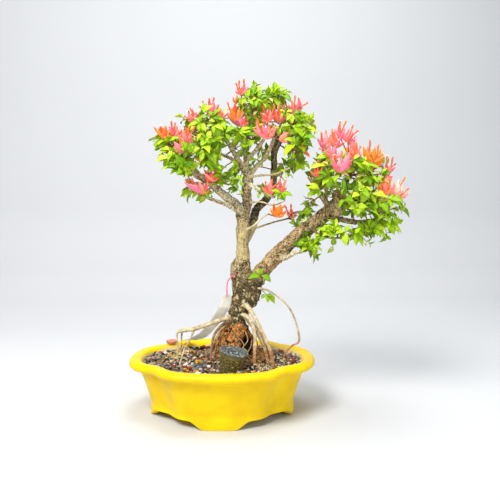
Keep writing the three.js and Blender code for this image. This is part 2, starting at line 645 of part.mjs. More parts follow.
// Keeps the blades that clear what is already there, each bent up, down or shortened where it must be
function clearBlades(owner, origin, frame, blades) {
  return blades.flatMap((blade) => {
    for (const [bend, scale] of BENDS) {
      const tried = {
        ...blade,
        rise: THREE.MathUtils.clamp(blade.rise + bend * DEGREE, ...blade.limits),
        long: blade.long * scale,
        wide: blade.wide * scale,
      };
      if (isClear(owner, loneBlade(origin, frame, tried))) return [tried];
    }
    return [];
  });
}

// Builds a shoot from its tiers, and leaves out the blades that still cross something
function fitShoot(owner, tiers, make) {
  let kept = tiers.filter(({ blades }) => blades.length);
  while (kept.length) {
    const solid = make(kept);
    if (isClear(owner, solid, true)) return solid;
    const choices = kept.flatMap((tier) => tier.blades.map((left) => (
      kept.map((other) => ({ ...other, blades: other.blades.filter((one) => one !== left) }))
        .filter(({ blades }) => blades.length))));
    const fits = (choice) => choice.length && isClear(owner, make(choice), true);
    kept = choices.find(fits) ?? choices.pop();
  }
  return null;
}

// Triangles between a ring of three points and a rim round it, each rim edge joined to the nearest ring point
function joinRim(ring, rim, upward) {
  const faces = [];
  const turnOf = (p) => Math.atan2(p.y, p.x);
  const nearest = rim.map((point, i) => {
    const next = rim[(i + 1) % rim.length];
    const middle = Math.atan2(
      Math.sin(turnOf(point)) + Math.sin(turnOf(next)),
      Math.cos(turnOf(point)) + Math.cos(turnOf(next)),
    );
    const closeness = ring.map((corner) => Math.cos(turnOf(corner) - middle));
    return ring[closeness.indexOf(Math.max(...closeness))];
  });
  rim.forEach((point, i) => {
    const next = rim[(i + 1) % rim.length];
    const before = nearest[(i + rim.length - 1) % rim.length];
    faces.push([nearest[i].id, point.id, next.id]);
    if (before !== nearest[i]) faces.push([before.id, point.id, nearest[i].id]);
  });
  return upward ? faces : faces.map(([a, b, c]) => [a, c, b]);
}

// A shoot as one closed body: a three-sided stem along a line, then tiers of blades up its axis.
// Each tier stands between two small rings of the stem, and the last one is closed over its centre.
function shoot(line, radius, axis, tiers) {
  const points = [];
  const faces = [];
  const frame = frameAlong(axis);
  const origin = line[line.length - 1];
  let across = null;
  let ring = null;
  const addRing = (centre, along, size) => {
    if (!across) across = Math.abs(along.z) > 0.9 ? vec(1, 0, 0) : vec(0, 0, 1);
    across = across.clone().addScaledVector(along, -across.dot(along)).normalize();
    const side = along.clone().cross(across);
    const made = [0, 1, 2].map((k) => {
      const turn = (k / 3) * 2 * Math.PI;
      const offset = across.clone().multiplyScalar(Math.cos(turn) * size)
        .addScaledVector(side, Math.sin(turn) * size);
      points.push(centre.clone().add(offset));
      return { id: points.length - 1, x: offset.dot(frame[0]), y: offset.dot(frame[1]) };
    });
    if (ring) {
      for (let k = 0; k < 3; k += 1) {
        const j = (k + 1) % 3;
        faces.push([ring[k].id, ring[j].id, made[j].id], [ring[k].id, made[j].id, made[k].id]);
      }
    }
    return made;
  };
  line.forEach((spot, i) => {
    const after = line[Math.min(i + 1, line.length - 1)];
    const before = line[Math.max(i - 1, 0)];
    if (i + 1 < line.length) ring = addRing(spot, after.clone().sub(before).normalize(), radius);
  });
  faces.push([0, 2, 1]);
  tiers.forEach(({ offset, blades }, row) => {
    const centre = origin.clone().addScaledVector(axis, offset);
    const joined = row > 0 && offset - tiers[row - 1].offset <= 2 * BLADE_HALF + 0.01;
    if (!joined) ring = addRing(centre.clone().addScaledVector(axis, -BLADE_HALF), axis, RING_RADIUS);
    const rim = tierRim(blades).map(([x, y, z]) => {
      points.push(inFrame(centre, frame, x, y, z));
      return { id: points.length - 1, x, y };
    });
    faces.push(...joinRim(ring, rim, false));
    if (row + 1 < tiers.length) {
      ring = null;
      ring = addRing(centre.clone().addScaledVector(axis, BLADE_HALF), axis, RING_RADIUS);
      faces.push(...joinRim(ring, rim, true));
    } else {
      points.push(centre.clone().addScaledVector(axis, BLADE_HALF));
      rim.forEach((point, i) => faces.push([points.length - 1, point.id, rim[(i + 1) % rim.length].id]));
    }
  });
  return toSolid(geometryOf(points, faces));
}

// Points along the branches where a shoot may start, nearest to a place first
const branchSpots = Object.values(LIMBS).filter(([, carries]) => carries).flatMap(([, , ...points]) => {
  const spots = [];
  for (let i = 0; i + 1 < points.length; i += 1) {
    const a = vec(...points[i].slice(0, 3));
    const b = vec(...points[i + 1].slice(0, 3));
    const steps = Math.ceil(a.distanceTo(b) / 4);
    for (let k = 0; k < steps; k += 1) spots.push(a.clone().lerp(b, k / steps));
  }
  spots.push(vec(...points[points.length - 1].slice(0, 3)));
  return spots;
});

function nearestSpots(place) {
  return [...branchSpots].sort((a, b) => a.distanceTo(place) - b.distanceTo(place));
}

function strut(from, to, radius) {
  return tube([[...from, radius + GAP], [...to, radius + GAP]], 3);
}

function mean(points) {
  return points.reduce((sum, p) => sum.add(p), vec(0, 0, 0)).multiplyScalar(1 / points.length);
}

// Stem lines from a branch to each end, clear of what is there: the first holds the root,
// and the others part from its fork
function stemLines(owner, ends) {
  const middle = mean(ends);
  for (const root of nearestSpots(middle).slice(0, ROOT_TRIES)) {
    const fork = root.clone().lerp(middle, 0.5);
    const lines = ends.length > 1
      ? ends.map((end, i) => (i ? [fork, end] : [root, fork, end]))
      : [[root, ends[0]]];
    const tests = lines.flatMap((line) => (
      line.slice(1).map((spot, i) => strut(line[i], spot, STEM_RADIUS))));
    if (tests.every((piece) => isClear(owner, piece, true))) {
      const bodies = union(tests).subtract(grownWood).decompose().filter((piece) => piece.volume() > 1);
      if (bodies.length === 1) return { lines, tests };
    }
  }
  return null;
}

// Bloom: one or two tiers of bracts and a tier of tubes round an axis that leans out and up
function bloomTiers(span, row, index) {
  const counts = [span > WIDE_BLOOM ? 4 : 3, 3, span >= SMALL_BLOOM ? 3 : 2];
  const tiers = BRACT_TIERS.map((tier, i) => ({ ...tier, count: counts[i] }))
    .filter((tier, i) => i !== 1 || span >= SMALL_BLOOM);
  return tiers.map((tier, level) => {
    const isTube = level === tiers.length - 1;
    const blades = [];
    for (let k = 0; k < tier.count; k += 1) {
      const pick = (key) => draw(100 + row * 4 + index, level * 8 + k, key, 2);
      const long = span * tier.share * (0.88 + 0.24 * pick(0));
      const rise = (tier.rise[0] + tier.rise[1] * pick(1)) * DEGREE;
      const room = Math.tan((160 / tier.count) * DEGREE) * 0.55 * 2 * Math.cos(rise);
      blades.push({
        outline: isTube ? TUBE_OUTLINE : BRACT_OUTLINE,
        limits: tier.limits.map((angle) => angle * DEGREE),
        turn: ((k + 0.5 * level) / tier.count) * 2 * Math.PI + 0.3 * pick(2),
        rise,
        long,
        wide: isTube ? TUBE_WIDTH : long * Math.min(0.86, room),
        fold: isTube ? 0 : 0.1 * long,
        droop: isTube ? 0 : 0.1 * long * (pick(3) - 0.3),
      });
    }
    return { offset: level * 2 * BLADE_HALF, blades };
  });
}

function makeBloomRow(name, blooms, row) {
  const spots = blooms.map(([x, y, z, span], index) => {
    const middle = vec(x, y, z);
    const away = middle.clone().sub(nearestSpots(middle)[0]).normalize();
    const axis = away.add(vec(0, y < 0 ? -0.5 : 0.4, 0.75)).normalize();
    return { index, span, axis, base: middle.clone().addScaledVector(axis, -0.32 * span) };
  });
  const stem = stemLines(name, spots.map((spot) => spot.base));
  if (!stem) return null;
  const shoots = spots.map(({ index, span, axis, base }) => {
    const frame = frameAlong(axis);
    const tiers = bloomTiers(span, row, index).map(({ offset, blades }) => {
      const kept = clearBlades(name, base.clone().addScaledVector(axis, offset), frame, blades);
      return { offset, blades: kept };
    });
    return fitShoot(name, tiers, (kept) => shoot(stem.lines[index], STEM_RADIUS, axis, kept));
  }).filter(Boolean);
  shoots.forEach((solid) => addObstacle(name, solid));
  return settled(union(shoots).subtract(grownWood));
}

// Leafy spray: a stem to the hub of each pad, then a twig to each head on the pad's outer side
function placeSpray(name, pads, row) {
  const hubs = pads.map(([x, y, z, radius]) => {
    const middle = vec(x, y, z);
    const [nearest] = nearestSpots(middle);
    const away = middle.clone().sub(nearest).normalize();
    const reach = Math.max(middle.distanceTo(nearest) - 0.7 * radius, HUB_REACH);
    return { middle, radius, away, hub: nearest.clone().addScaledVector(away, reach) };
  });
  const stem = stemLines(name, hubs.map((pad) => pad.hub));
  if (!stem) return null;
  stem.tests.forEach((solid) => addObstacle(name, solid));
  const heads = [];
  hubs.forEach(({ middle, radius, away, hub }, padIndex) => {
    const count = pads[padIndex][4];
    const frame = frameAlong(away.clone().add(vec(0, 0, 0.5)));
    for (let i = 0; i < count; i += 1) {
      let placed = false;
      for (let attempt = 0; attempt < HEAD_TRIES && !placed; attempt += 1) {
        const key = padIndex * 16 + i;
        const turn = i * GOLDEN_TURN + attempt * 0.8 + draw(row, key, attempt, 11);
        const tilt = Math.acos(1 - (1.25 * (i + 0.35 + 0.3 * draw(row, key, attempt, 12))) / count);
        const out = [Math.sin(tilt) * Math.cos(turn), Math.sin(tilt) * Math.sin(turn), Math.cos(tilt)];
        const place = inFrame(middle, frame, ...out.map((v) => v * radius));
        const axis = place.clone().sub(hub).normalize().add(vec(0, 0, 0.35)).normalize();
        const top = place.clone().addScaledVector(axis, UPPER_TIER);
        const grown = [strut(hub, place, TWIG_RADIUS), strut(place, top, TWIG_RADIUS)];
        if (grown.every((piece) => isClear(name, piece))) {
          placed = true;
          grown.forEach((solid) => addObstacle(name, solid));
          const first = !heads.some((head) => head.padIndex === padIndex);
          heads.push({ key, place, axis, hub, padIndex, first });
        }
      }
    }
  });
  return { stem, heads };
}

function headTiers(row, key) {
  return LEAF_TIERS.map((tier, level) => {
    const count = level ? 2 + Math.round(draw(row, key, level, 19)) : 4;
    const spin = draw(row, key, level, 20) * 2 * Math.PI;
    const blades = [];
    for (let k = 0; k < count; k += 1) {
      const pick = (choice) => draw(row, key, level * 8 + k, 21 + choice);
      const extra = level === 0 && pick(1) < LONG_LEAF.share ? LONG_LEAF.extra : 0;
      const long = tier.long[0] + tier.long[1] * pick(0) + extra;
      const rise = (tier.rise[0] + tier.rise[1] * pick(2)) * DEGREE;
      const room = Math.tan((150 / count) * DEGREE) * 0.4 * 2 * Math.cos(rise);
      blades.push({
        outline: tier.outline,
        limits: tier.limits.map((angle) => angle * DEGREE),
        turn: (spin + (k / count) * 2 * Math.PI + 0.2 * (pick(3) - 0.5)) % (2 * Math.PI),
        rise,
        long,
        wide: long * Math.min(0.56 + 0.1 * pick(4), room),
        fold: 0.08 * long * (0.5 + pick(5)),
        droop: 0.1 * long * (pick(6) - 0.2),
      });
    }
    return { offset: level * UPPER_TIER, blades };
  });
}

function makeSpray(name, placed, row) {
  const solids = placed.heads.map(({ key, place, axis, hub, padIndex, first }) => {
    const owner = `${name} ${key}`;
    const frame = frameAlong(axis);
    const tiers = headTiers(row, key).map(({ offset, blades }) => {
      const kept = clearBlades(name, place.clone().addScaledVector(axis, offset), frame, blades);
      return { offset, blades: kept };
    });
    const line = first ? [...placed.stem.lines[padIndex], place] : [hub, place];
    const radius = first ? STEM_RADIUS : TWIG_RADIUS;
    const solid = fitShoot(name, tiers, (kept) => shoot(line, radius, axis, kept));
    if (solid) addObstacle(owner, solid);
    return solid;
  });
  return settled(union(solids.filter(Boolean)).subtract(grownWood));
}

// Assembly
addPiece('pot', makePot(), 0xe6cc00, 0.45);
addPiece('drain_screen_left', makeScreen(-DRAIN_X), 0x222222, 0.7);
addPiece('drain_screen_right', makeScreen(DRAIN_X), 0x222222, 0.7);

const wood = union([...woodSolids, makeMound()]);
addPiece('tree_wood', wood, 0xb39a72, 0.9);

const stoneCuts = Object.values(STONES).map(([centre, half], i) => makeStone(centre, half, i, GAP));
const screenCuts = [-DRAIN_X, DRAIN_X].map((x) => screenBlank(x, GAP));
const soilCuts = [grownWood, basketBlank(GAP), ...stoneCuts, ...screenCuts];
addPiece('soil', mainBody(makeSoil().subtract(union(soilCuts))), 0x7a6a5a, 0.95);
Object.entries(STONES).forEach(([name, [centre, half, color]], i) => {
  addPiece(name, makeStone(centre, half, i), color, 0.9);
});

addPiece('fertiliser_cup', leanBasket(makeCup()), 0x4a4a2c, 0.6);
addPiece('fertiliser_lid', leanBasket(makeLid()), 0x6c7a80, 0.6);
addPiece('fertiliser_pellets', leanBasket(makePellets()), 0xb08a55, 0.9);

const label = makeLabel();
const wire = tube(WIRE_LINE.map((spot) => [...spot, WIRE_RADIUS]), 5);
addPiece('label', label, 0xd5d8d6, 0.4);
addPiece('label_wire', wire, 0xe0559a, 0.5);

grownWoodSolids.forEach((solid) => addObstacle('wood', solid));
addObstacle('label', label);
addObstacle('wire', wire);

Object.entries(BLOOMS).forEach(([name, [color, ...blooms]], row) => {
  const body = makeBloomRow(name, blooms, row);
  if (body) addPiece(name, body, BRACT_COLORS[color], 0.7);
});

const placedSprays = Object.entries(SPRAYS).map(([name, pads], row) => (
  [name, placeSpray(name, pads, row), row]));
placedSprays.forEach(([name, placed, row]) => {
  if (placed) addPiece(name, makeSpray(name, placed, row), 0x86b81e, 0.55);
});

const bounds = new THREE.Box3().setFromObject(group);
const centre = bounds.getCenter(vec(0, 0, 0));
group.position.set(-centre.x, -centre.y, -bounds.min.z);

export default group;
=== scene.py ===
import json
import math

import bpy
import numpy as np
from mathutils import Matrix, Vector, noise
from mathutils.bvhtree import BVHTree
from mathutils.kdtree import KDTree

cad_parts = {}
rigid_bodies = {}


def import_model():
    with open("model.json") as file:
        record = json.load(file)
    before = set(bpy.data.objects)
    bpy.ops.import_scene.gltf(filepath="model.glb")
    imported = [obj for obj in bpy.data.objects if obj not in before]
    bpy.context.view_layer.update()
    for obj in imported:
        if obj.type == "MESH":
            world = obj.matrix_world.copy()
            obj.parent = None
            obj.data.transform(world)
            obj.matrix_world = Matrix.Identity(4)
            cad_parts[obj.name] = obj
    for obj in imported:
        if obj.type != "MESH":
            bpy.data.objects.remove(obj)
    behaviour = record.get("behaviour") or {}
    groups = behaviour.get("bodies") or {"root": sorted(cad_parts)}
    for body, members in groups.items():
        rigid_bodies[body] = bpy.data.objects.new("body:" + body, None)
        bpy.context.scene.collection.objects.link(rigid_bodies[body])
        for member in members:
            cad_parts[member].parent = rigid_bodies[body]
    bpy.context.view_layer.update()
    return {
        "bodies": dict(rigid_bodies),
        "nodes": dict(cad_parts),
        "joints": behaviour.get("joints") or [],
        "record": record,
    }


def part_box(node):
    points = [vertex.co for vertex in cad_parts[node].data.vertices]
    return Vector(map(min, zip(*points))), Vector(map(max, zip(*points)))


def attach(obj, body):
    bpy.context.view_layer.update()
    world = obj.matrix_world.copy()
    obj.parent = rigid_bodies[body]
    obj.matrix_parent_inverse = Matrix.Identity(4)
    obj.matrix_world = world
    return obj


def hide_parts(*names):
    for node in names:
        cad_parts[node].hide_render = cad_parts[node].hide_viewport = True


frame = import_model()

# A bougainvillea bonsai in a four-lobed yellow pot. Lengths are in mm round the middle of the pot,
# with the front towards -Y, and each finished mesh is moved to the row frame, in metres.
MM = 0.001
DEGREE = math.pi / 180
GOLDEN_TURN = 2.399963
pot_low, pot_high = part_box("pot")
POT_CENTRE = np.array([(pot_low[0] + pot_high[0]) / 2, (pot_low[1] + pot_high[1]) / 2, pot_low[2]])

# Pot outline and profile
POT_AROUND = 240
POT_SQUARENESS = 2.2
POT_TURN = -3.5 * DEGREE
LOBE_INDENT = 0.09
LOBE_ANGLE = 43 * DEGREE
LOBE_WIDTH = 13 * DEGREE
FOOT_RISE = 10.2
FRONT_FOOT = (19, 40)
END_FOOT = (22, 41)
UNDERSIDE_Z = 12
FLOOR_Z = 17.5
POT_WALL = [(97.8, 79.4, 17), (99.5, 80.4, 22), (105, 84.2, 40), (112, 88.6, 59)]
POT_LIP = [(113, 89.4, 61.8), (115, 91, 62.8), (119.5, 94.2, 63.4), (124, 97.8, 65), (126.6, 99.8, 68.2),
  (126.4, 99.5, 71.4), (123.8, 97, 74), (119.6, 92.6, 75.2), (115.2, 88, 74.9), (111.8, 84.2, 73.4)]
POT_INNER = [(110, 82, 71.4), (108.6, 80.2, 68), (101, 75.5, 40), (94, 71.5, FLOOR_Z)]
SKIRT_OUTER = (98.6, 80)
SKIRT_INNER = (91, 72.5)
SKIRT_TOP_Z = 9.5
DRAIN_X = 48
DRAIN_RADIUS = 9
DEPOSIT_EDGE = (110.5, 81.8)  # dust inside the rim: how far out, and between which heights it fades
DEPOSIT_Z = (74.5, 69.5)

# Soil
SOIL_Z = 66
SOIL_CROWN = 4
SOIL_EDGE = (107.6, 79)
BED_AROUND = 96
BED_ROWS = 14
BED_COLOR = (48, 40, 32)
GRAIN_REACH = 0.955 * 0.985 / (1 - LOBE_INDENT * 0.8)  # how far the granules go, as a share
GRAIN_PITCH = 3.9
ROW_SHARE = 0.87  # distance between rows of granules, as a share of the pitch
UPPER_GRAINS = 0.45  # share of the places with a second granule on top
GRAIN_SIZE = (1.5, 3.0)
GRAIN_COLORS = [  # share and sRGB colour
  (0.19, (132, 136, 140)), (0.16, (80, 80, 82)), (0.12, (32, 30, 28)), (0.16, (150, 60, 44)),
  (0.09, (206, 196, 176)), (0.09, (190, 150, 98)), (0.11, (128, 94, 64)), (0.04, (226, 172, 54)),
  (0.04, (24, 88, 76)), (0.04, (240, 236, 226))]
LITTER_COLORS = [
  (226, 206, 156), (204, 176, 118), (238, 224, 186), (214, 200, 70), (166, 128, 78), (120, 80, 48)]
LITTER_PLACES = [  # x, y, how far it spreads, count, how much longer the longest blades are
  (-56, 8, 34, 46, 8), (30, -48, 40, 22, 8), (62, -20, 34, 22, 8), (-20, 40, 40, 18, 8), (60, 40, 34, 12, 8),
  (-50, 18, 10, 10, 15)]

# Stones: centre, half sizes and sRGB colour
STONES = {
  "stone_salmon": ((-76, 61, 79), (9, 6.5, 4.6), (222, 146, 116)),
  "stone_pale": ((-52, 36, 69), (8, 7, 5.5), (214, 190, 148)),
  "bark_strip": ((-31, 60, 69.5), (14, 4, 3.5), (112, 48, 28)),
}

# Fertiliser basket
BASKET_FOOT = (9, -52, 65)
BASKET_TILT = (4, 11)
BASKET_HEIGHT = 27
BASKET_RADIUS = (14, 17.2)
BASKET_WALL = 0.9
LID_PROFILE = [  # radius and height of the ridged lid
  (1.2, 3.0), (3, 3.4), (5, 2.7), (6.8, 3.1), (8.8, 2.3), (10.6, 2.7), (12.6, 1.7), (14.2, 2.0), (15.6, 1.2)]
LID_RIM = [(15.4, 0.3), (17.9, 0), (18.4, 0.5), (18.5, 1.6), (18.1, 2.6), (17.2, 2.9), (16.4, 2.3),
  (15.4, 2.0)]
LID_BOSS = [(0.2, 2.0), (1.9, 2.0), (2.1, 3.2), (1.6, 3.9), (0.2, 4.0)]
CUP_OLIVE = (88, 80, 42)
LID_GREY = (74, 84, 84)
# light flecks painted on the dark lid as a reflection
LID_REFLECTION_FLECK = (214, 220, 212)
PELLETS = 190
PELLET = (232, 204, 144)
# painted shade between the pellets, on the core that fills the basket
PELLET_GAP_SHADE = (40, 32, 20)

# Label and wire
LABEL_WIDTH = 13.5
LABEL_THICK = 0.7
LABEL_BOW = 0.5
LABEL_SECTION = [  # shares of half the width and half the thickness, round the strip
  (-1, 0), (-0.9, 1), (-0.45, 1), (0, 1), (0.45, 1), (0.9, 1), (1, 0), (0.9, -1), (0.45, -1), (0, -1),
  (-0.45, -1), (-0.9, -1)]
LABEL_EYE = (6, 157)
LABEL_EYE_RADIUS = 1.8
WIRE_RADIUS = 0.8
WIRE_PINK = (212, 80, 118)
LABEL_LINE = [(6, -10, 160), (5, -5, 148), (0, 2, 137), (-6, 10, 125), (-14, 20, 113), (-27, 36, 95.5),
  (-42, 55, 83.5), (-58, 72, 78)]
WIRE_LINE = [(18.5, -11.5, 189), (13, -15, 186), (8, -17, 180), (6, -18, 173), (6, -18, 164), (6, -14, 158.5),
  (6, -8, 156.6), (6.5, -4, 159)]

# Foliage, by the same rules as the solids
BLADE_HALF = 0.9
BENDS = [(0, 1), (26, 1), (-24, 1), (48, 1), (0, 0.68), (30, 0.68)]
HUB_REACH = 8
UPPER_TIER = 6
SMALL_BLOOM = 21
WIDE_BLOOM = 24
LEAF_TIERS = [
  {"long": (13, 7), "rise": (-8, 34), "limits": (-34, 32)},
  {"long": (8, 5), "rise": (36, 20), "limits": (34, 62)}]
BRACT_TIERS = [
  {"rise": (14, 20), "share": 0.6, "limits": (-20, 36)},
  {"rise": (44, 14), "share": 0.58, "limits": (42, 60)},
  {"rise": (69, 7), "share": 0.7, "limits": (68, 78)}]
FOUND_WITHIN = 0.06  # how close a solid's point must lie to count as the blade's tip
LONG_LEAF = {"share": 0.16, "extra": 6}

# Fineness of the modelled surfaces
LIMB_STEP = 1.5
STEM_STEP = 3.0
BARK_VOXEL = 1.2
ROOT_VOXEL = 0.75
MOUND_VOXEL = 1.3
CUP_CELLS = 92
LID_CELLS = 44
SCREEN_SIZE = 30
SCREEN_THREADS = 15
THREAD_RADIUS = 0.42
MESH_BLACK = (28, 28, 28)

# Wood: each limb is a line of points x, y, z with a radius. The first number is 1 where stems can start.
LIMBS = {
  "trunk": [1, [24, 0, 60, 14], [21, 0, 88, 13], [20, 0, 112, 13], [20, 0, 126, 12.5], [25, 0, 142, 15],
    [33, 0, 159, 19.6], [31, 0, 173, 18], [28, 0, 190, 12.3], [28, 0, 209, 10], [28, 1, 234, 8.6],
    [28, 2, 258, 9], [29, 3, 273, 9.6], [34, 3, 284, 7], [33, 3, 299, 7.2], [35, 4, 316, 7.9],
    [34, 4, 330, 5.5]],
  "right_trunk": [1, [28, 0, 162, 12], [42, -2, 173, 12], [54, -4, 190, 11.3], [72, -7, 211, 10.8],
    [89, -10, 228, 10.5], [108, -13, 245, 10.4], [126, -15, 258, 10.1], [142, -17, 272, 10],
    [153, -18, 284, 8]],
  "left_branch": [1, [28, 2, 271, 6.9], [19, -2, 283, 6.1], [4, -8, 293, 5.8], [-10, -12, 305, 5.4],
    [-23, -16, 315, 5], [-33, -19, 320, 4.7], [-42, -22, 329, 4], [-53, -24, 343, 2.6]],
  "left_low_branch": [1, [27, -2, 271, 3.4], [19, -10, 274, 3], [4, -16, 282, 2.7], [-8, -22, 286, 2.7],
    [-24, -29, 292, 2.2]],
  "left_upper_branch": [1, [33, 4, 327, 4.1], [19, -2, 347, 3.5], [9, -6, 363, 3.3], [0, -8, 373, 3],
    [-16, -10, 391, 2]],
  "crown_front_branch": [1, [33, 4, 328, 3.4], [34, -2, 340, 3.1], [44, -9, 353, 3], [56, -14, 369, 2.4],
    [61, -16, 385, 1.7]],
  "crown_right_branch": [1, [37, 2, 322, 3.8], [47, -7, 334, 3.4], [57, -13, 344, 3], [65, -17, 359, 2.7],
    [70, -19, 372, 2.3], [78, -20, 388, 1.7]],
  "back_branch": [1, [33, 4, 233, 5.5], [42, 14, 253, 6.3], [48, 24, 275, 6], [63, 32, 291, 5.7],
    [73, 36, 311, 5.4], [75, 40, 340, 5.1], [75, 42, 362, 4.4], [82, 44, 380, 3.6], [91, 44, 400, 2.2]],
  "back_fork": [1, [73, 36, 311, 3.6], [75, 28, 329, 2.9], [76, 22, 357, 2.5], [87, 14, 377, 2.1]],
  "back_left_branch": [1, [34, 4, 322, 3.6], [22, 20, 340, 3], [4, 30, 352, 2.6], [-24, 30, 358, 2]],
  "crown_branch": [1, [34, 5, 327, 4.1], [32, 10, 350, 3.5], [30, 12, 374, 3.1], [39, 12, 398, 2.4],
    [46, 10, 412, 1.8]],
  "right_twig": [1, [38, -2, 319, 2], [51, -8, 321, 1.8], [70, -16, 322, 1.6], [90, -22, 330, 1.5]],
  "pale_stub": [1, [37, 0, 310, 2.7], [56, -10, 299, 2.4], [70, -16, 291, 2.1]],
  "front_stub": [1, [32, -3, 247, 2], [43, -12, 254, 1.8], [53, -18, 264, 1.6], [61, -21, 269, 1.4]],
  "front_twig": [0, [37, 0, 284, 2], [46, -6, 285.6, 1.5], [55, -11, 285, 1.4], [64, -15, 281.4, 1.4],
    [73, -18, 281.8, 1.3], [83, -21, 286.5, 0.9]],
  "thin_branch": [1, [33, 2, 245, 1.7], [47, 8, 250, 1.6], [72, 14, 258, 1.5], [92, 18, 263, 1.4]],
  "right_cut_branch": [1, [145, -17, 276, 5], [131, -24, 294, 3.6], [121, -27, 308, 2.9],
    [113, -28, 318, 2.5]],
  "right_upper_branch": [1, [150, -18, 280, 6], [158, -20, 293, 5.3], [164, -22, 309, 4],
    [170, -23, 328, 2.4]],
  "right_back_branch": [1, [151, -14, 279, 5.4], [168, -4, 288, 4.1], [186, 8, 301, 3.4],
    [200, 18, 318, 2.4]],
  "right_middle_branch": [1, [152, -20, 276, 4.6], [169, -28, 280, 2.5], [189, -33, 283, 2]],
  "right_low_branch": [1, [142, -16, 268, 4.7], [159, -14, 262, 4], [187, -12, 258, 3.6],
    [212, -12, 262, 2.6]],
  "right_bottom_twig": [1, [118, -20, 250, 2.2], [132, -26, 240, 1.8], [152, -28, 237, 1.5],
    [170, -28, 241, 1.3]],
  "under_branch": [1, [74, -8, 212, 4.2], [83, -16, 209, 3.3], [97, -22, 217, 2.9], [108, -24, 219, 2.3]],
  "callus": [0, [24, -2, 176, 5], [19, -3, 183, 7.5], [18, -3, 196, 7.5], [22, -2, 207, 5]],
  "burl": [0, [153, -20, 268, 7], [155, -23, 281, 7.5], [155, -24, 292, 6.4], [153, -23, 300, 4]],
  "aerial_root": [0, [42, -6, 169, 2.6], [61, -16, 166, 1.5], [78, -18, 155, 1.4], [91, -17, 141, 1.4],
    [101, -14, 118, 1.5], [105, -10, 95, 1.6], [96, -8, 88, 1.5], [86, -6, 76, 1.5], [83, -4, 56, 1.4]],
  "left_root": [0, [19, 0, 133, 5.5], [7, -4, 127, 3.8], [-12, -9, 122, 3.4], [-35, -14, 115, 3.1],
    [-49, -18, 113.6, 3], [-57, -19, 112.8, 2.9], [-60.5, -19.6, 111, 2.3], [-61, -20, 106, 1.5],
    [-60, -21, 90, 1.3], [-59, -22, 58, 1.2]],
  "left_root_drop": [0, [-50, -17, 113, 2], [-54.5, -15, 110.5, 1.5], [-55.5, -13, 100, 1.2],
    [-56, -12, 84, 1.1], [-56, -12, 58, 1.1]],
  "rootlet": [0, [-38, -15, 114, 1.6], [-44, -21, 101, 1.3], [-52, -27, 86, 1.3], [-60, -32, 58, 1.2]],
  "mound_left_root": [0, [13, -8, 125, 3.2], [-2, -15, 118, 2.3], [-12, -20, 105, 1.9], [-15, -24, 86, 1.6],
    [-16, -26, 58, 1.4]],
  "front_root": [0, [28, -12, 150, 4.5], [37, -18, 140, 3.4], [46, -24, 125, 3], [56, -30, 104, 2.8],
    [64, -36, 84, 2.5], [69, -39, 58, 2.3]],
  "middle_root": [0, [25, -8, 134, 4], [37, -20, 127, 2.9], [43, -28, 107, 2.7], [42, -34, 87, 2.5],
    [41, -37, 58, 2.3]],
  "right_root": [0, [27, -7, 133, 3.4], [38, -13, 121, 3], [48, -18, 106, 2.7], [57, -22, 86, 2.5],
    [63, -25, 58, 2.2]],
  "back_root": [0, [25, 7, 134, 4.9], [42, 22, 112, 4.2], [58, 28, 88, 3.9], [76, 32, 56, 3.4]],
  "back_left_root": [0, [14, 12, 128, 4.5], [0, 22, 106, 3.6], [-12, 30, 84, 3.2], [-22, 36, 56, 2.8]],
}

# Sprays: x, y, z, radius and number of rosettes of each pad
SPRAYS = {
  "leaves_left_tip": [[-72, -12, 361, 9, 3]],
  "leaves_left_top": [[-38, -4, 386, 12, 3]],
  "leaves_left_front": [[-48, -38, 337, 12, 3]],
  "leaves_left_middle": [[-19, -38, 352, 12, 3]],
  "leaves_left_crown": [[-6, -14, 388, 12, 3]],
  "leaves_left_back": [[-54, 26, 360, 14, 3]],
  "leaves_left_back_crown": [[-14, 38, 378, 14, 3]],
  "leaves_left_low": [[-38, -30, 299, 7, 2]],
  "leaves_trunk_left": [[5, -22, 312, 8, 2]],
  "leaves_crown_top": [[36, 0, 424, 11, 1], [70, -4, 422, 12, 3]],
  "leaves_crown_front": [[36, -34, 364, 12, 3]],
  "leaves_crown_back": [[56, 38, 414, 14, 3]],
  "leaves_crown_right": [[102, -22, 384, 12, 3], [96, -28, 352, 9, 1]],
  "leaves_crown_right_back": [[108, 40, 378, 14, 3]],
  "leaves_inner_back": [[24, 46, 368, 13, 2]],
  "leaves_right_left": [[128, -30, 325, 11, 2]],
  "leaves_right_middle": [[166, -42, 318, 12, 3]],
  "leaves_right_front": [[168, -54, 287, 12, 3]],
  "leaves_right_top": [[206, -20, 324, 13, 3]],
  "leaves_right_tip": [[229, -22, 280, 12, 3], [224, -18, 253, 9, 2]],
  "leaves_right_low": [[142, -42, 236, 10, 2], [188, -34, 240, 9, 2]],
  "leaves_right_back": [[182, 34, 338, 15, 3], [206, 36, 286, 14, 2]],
  "leaves_right_inner": [[117, -26, 284, 9, 2]],
  "leaves_under_trunk": [[117, -28, 222, 7, 2]],
  "leaves_sprout": [[51, -20, 187, 3, 1]],
}

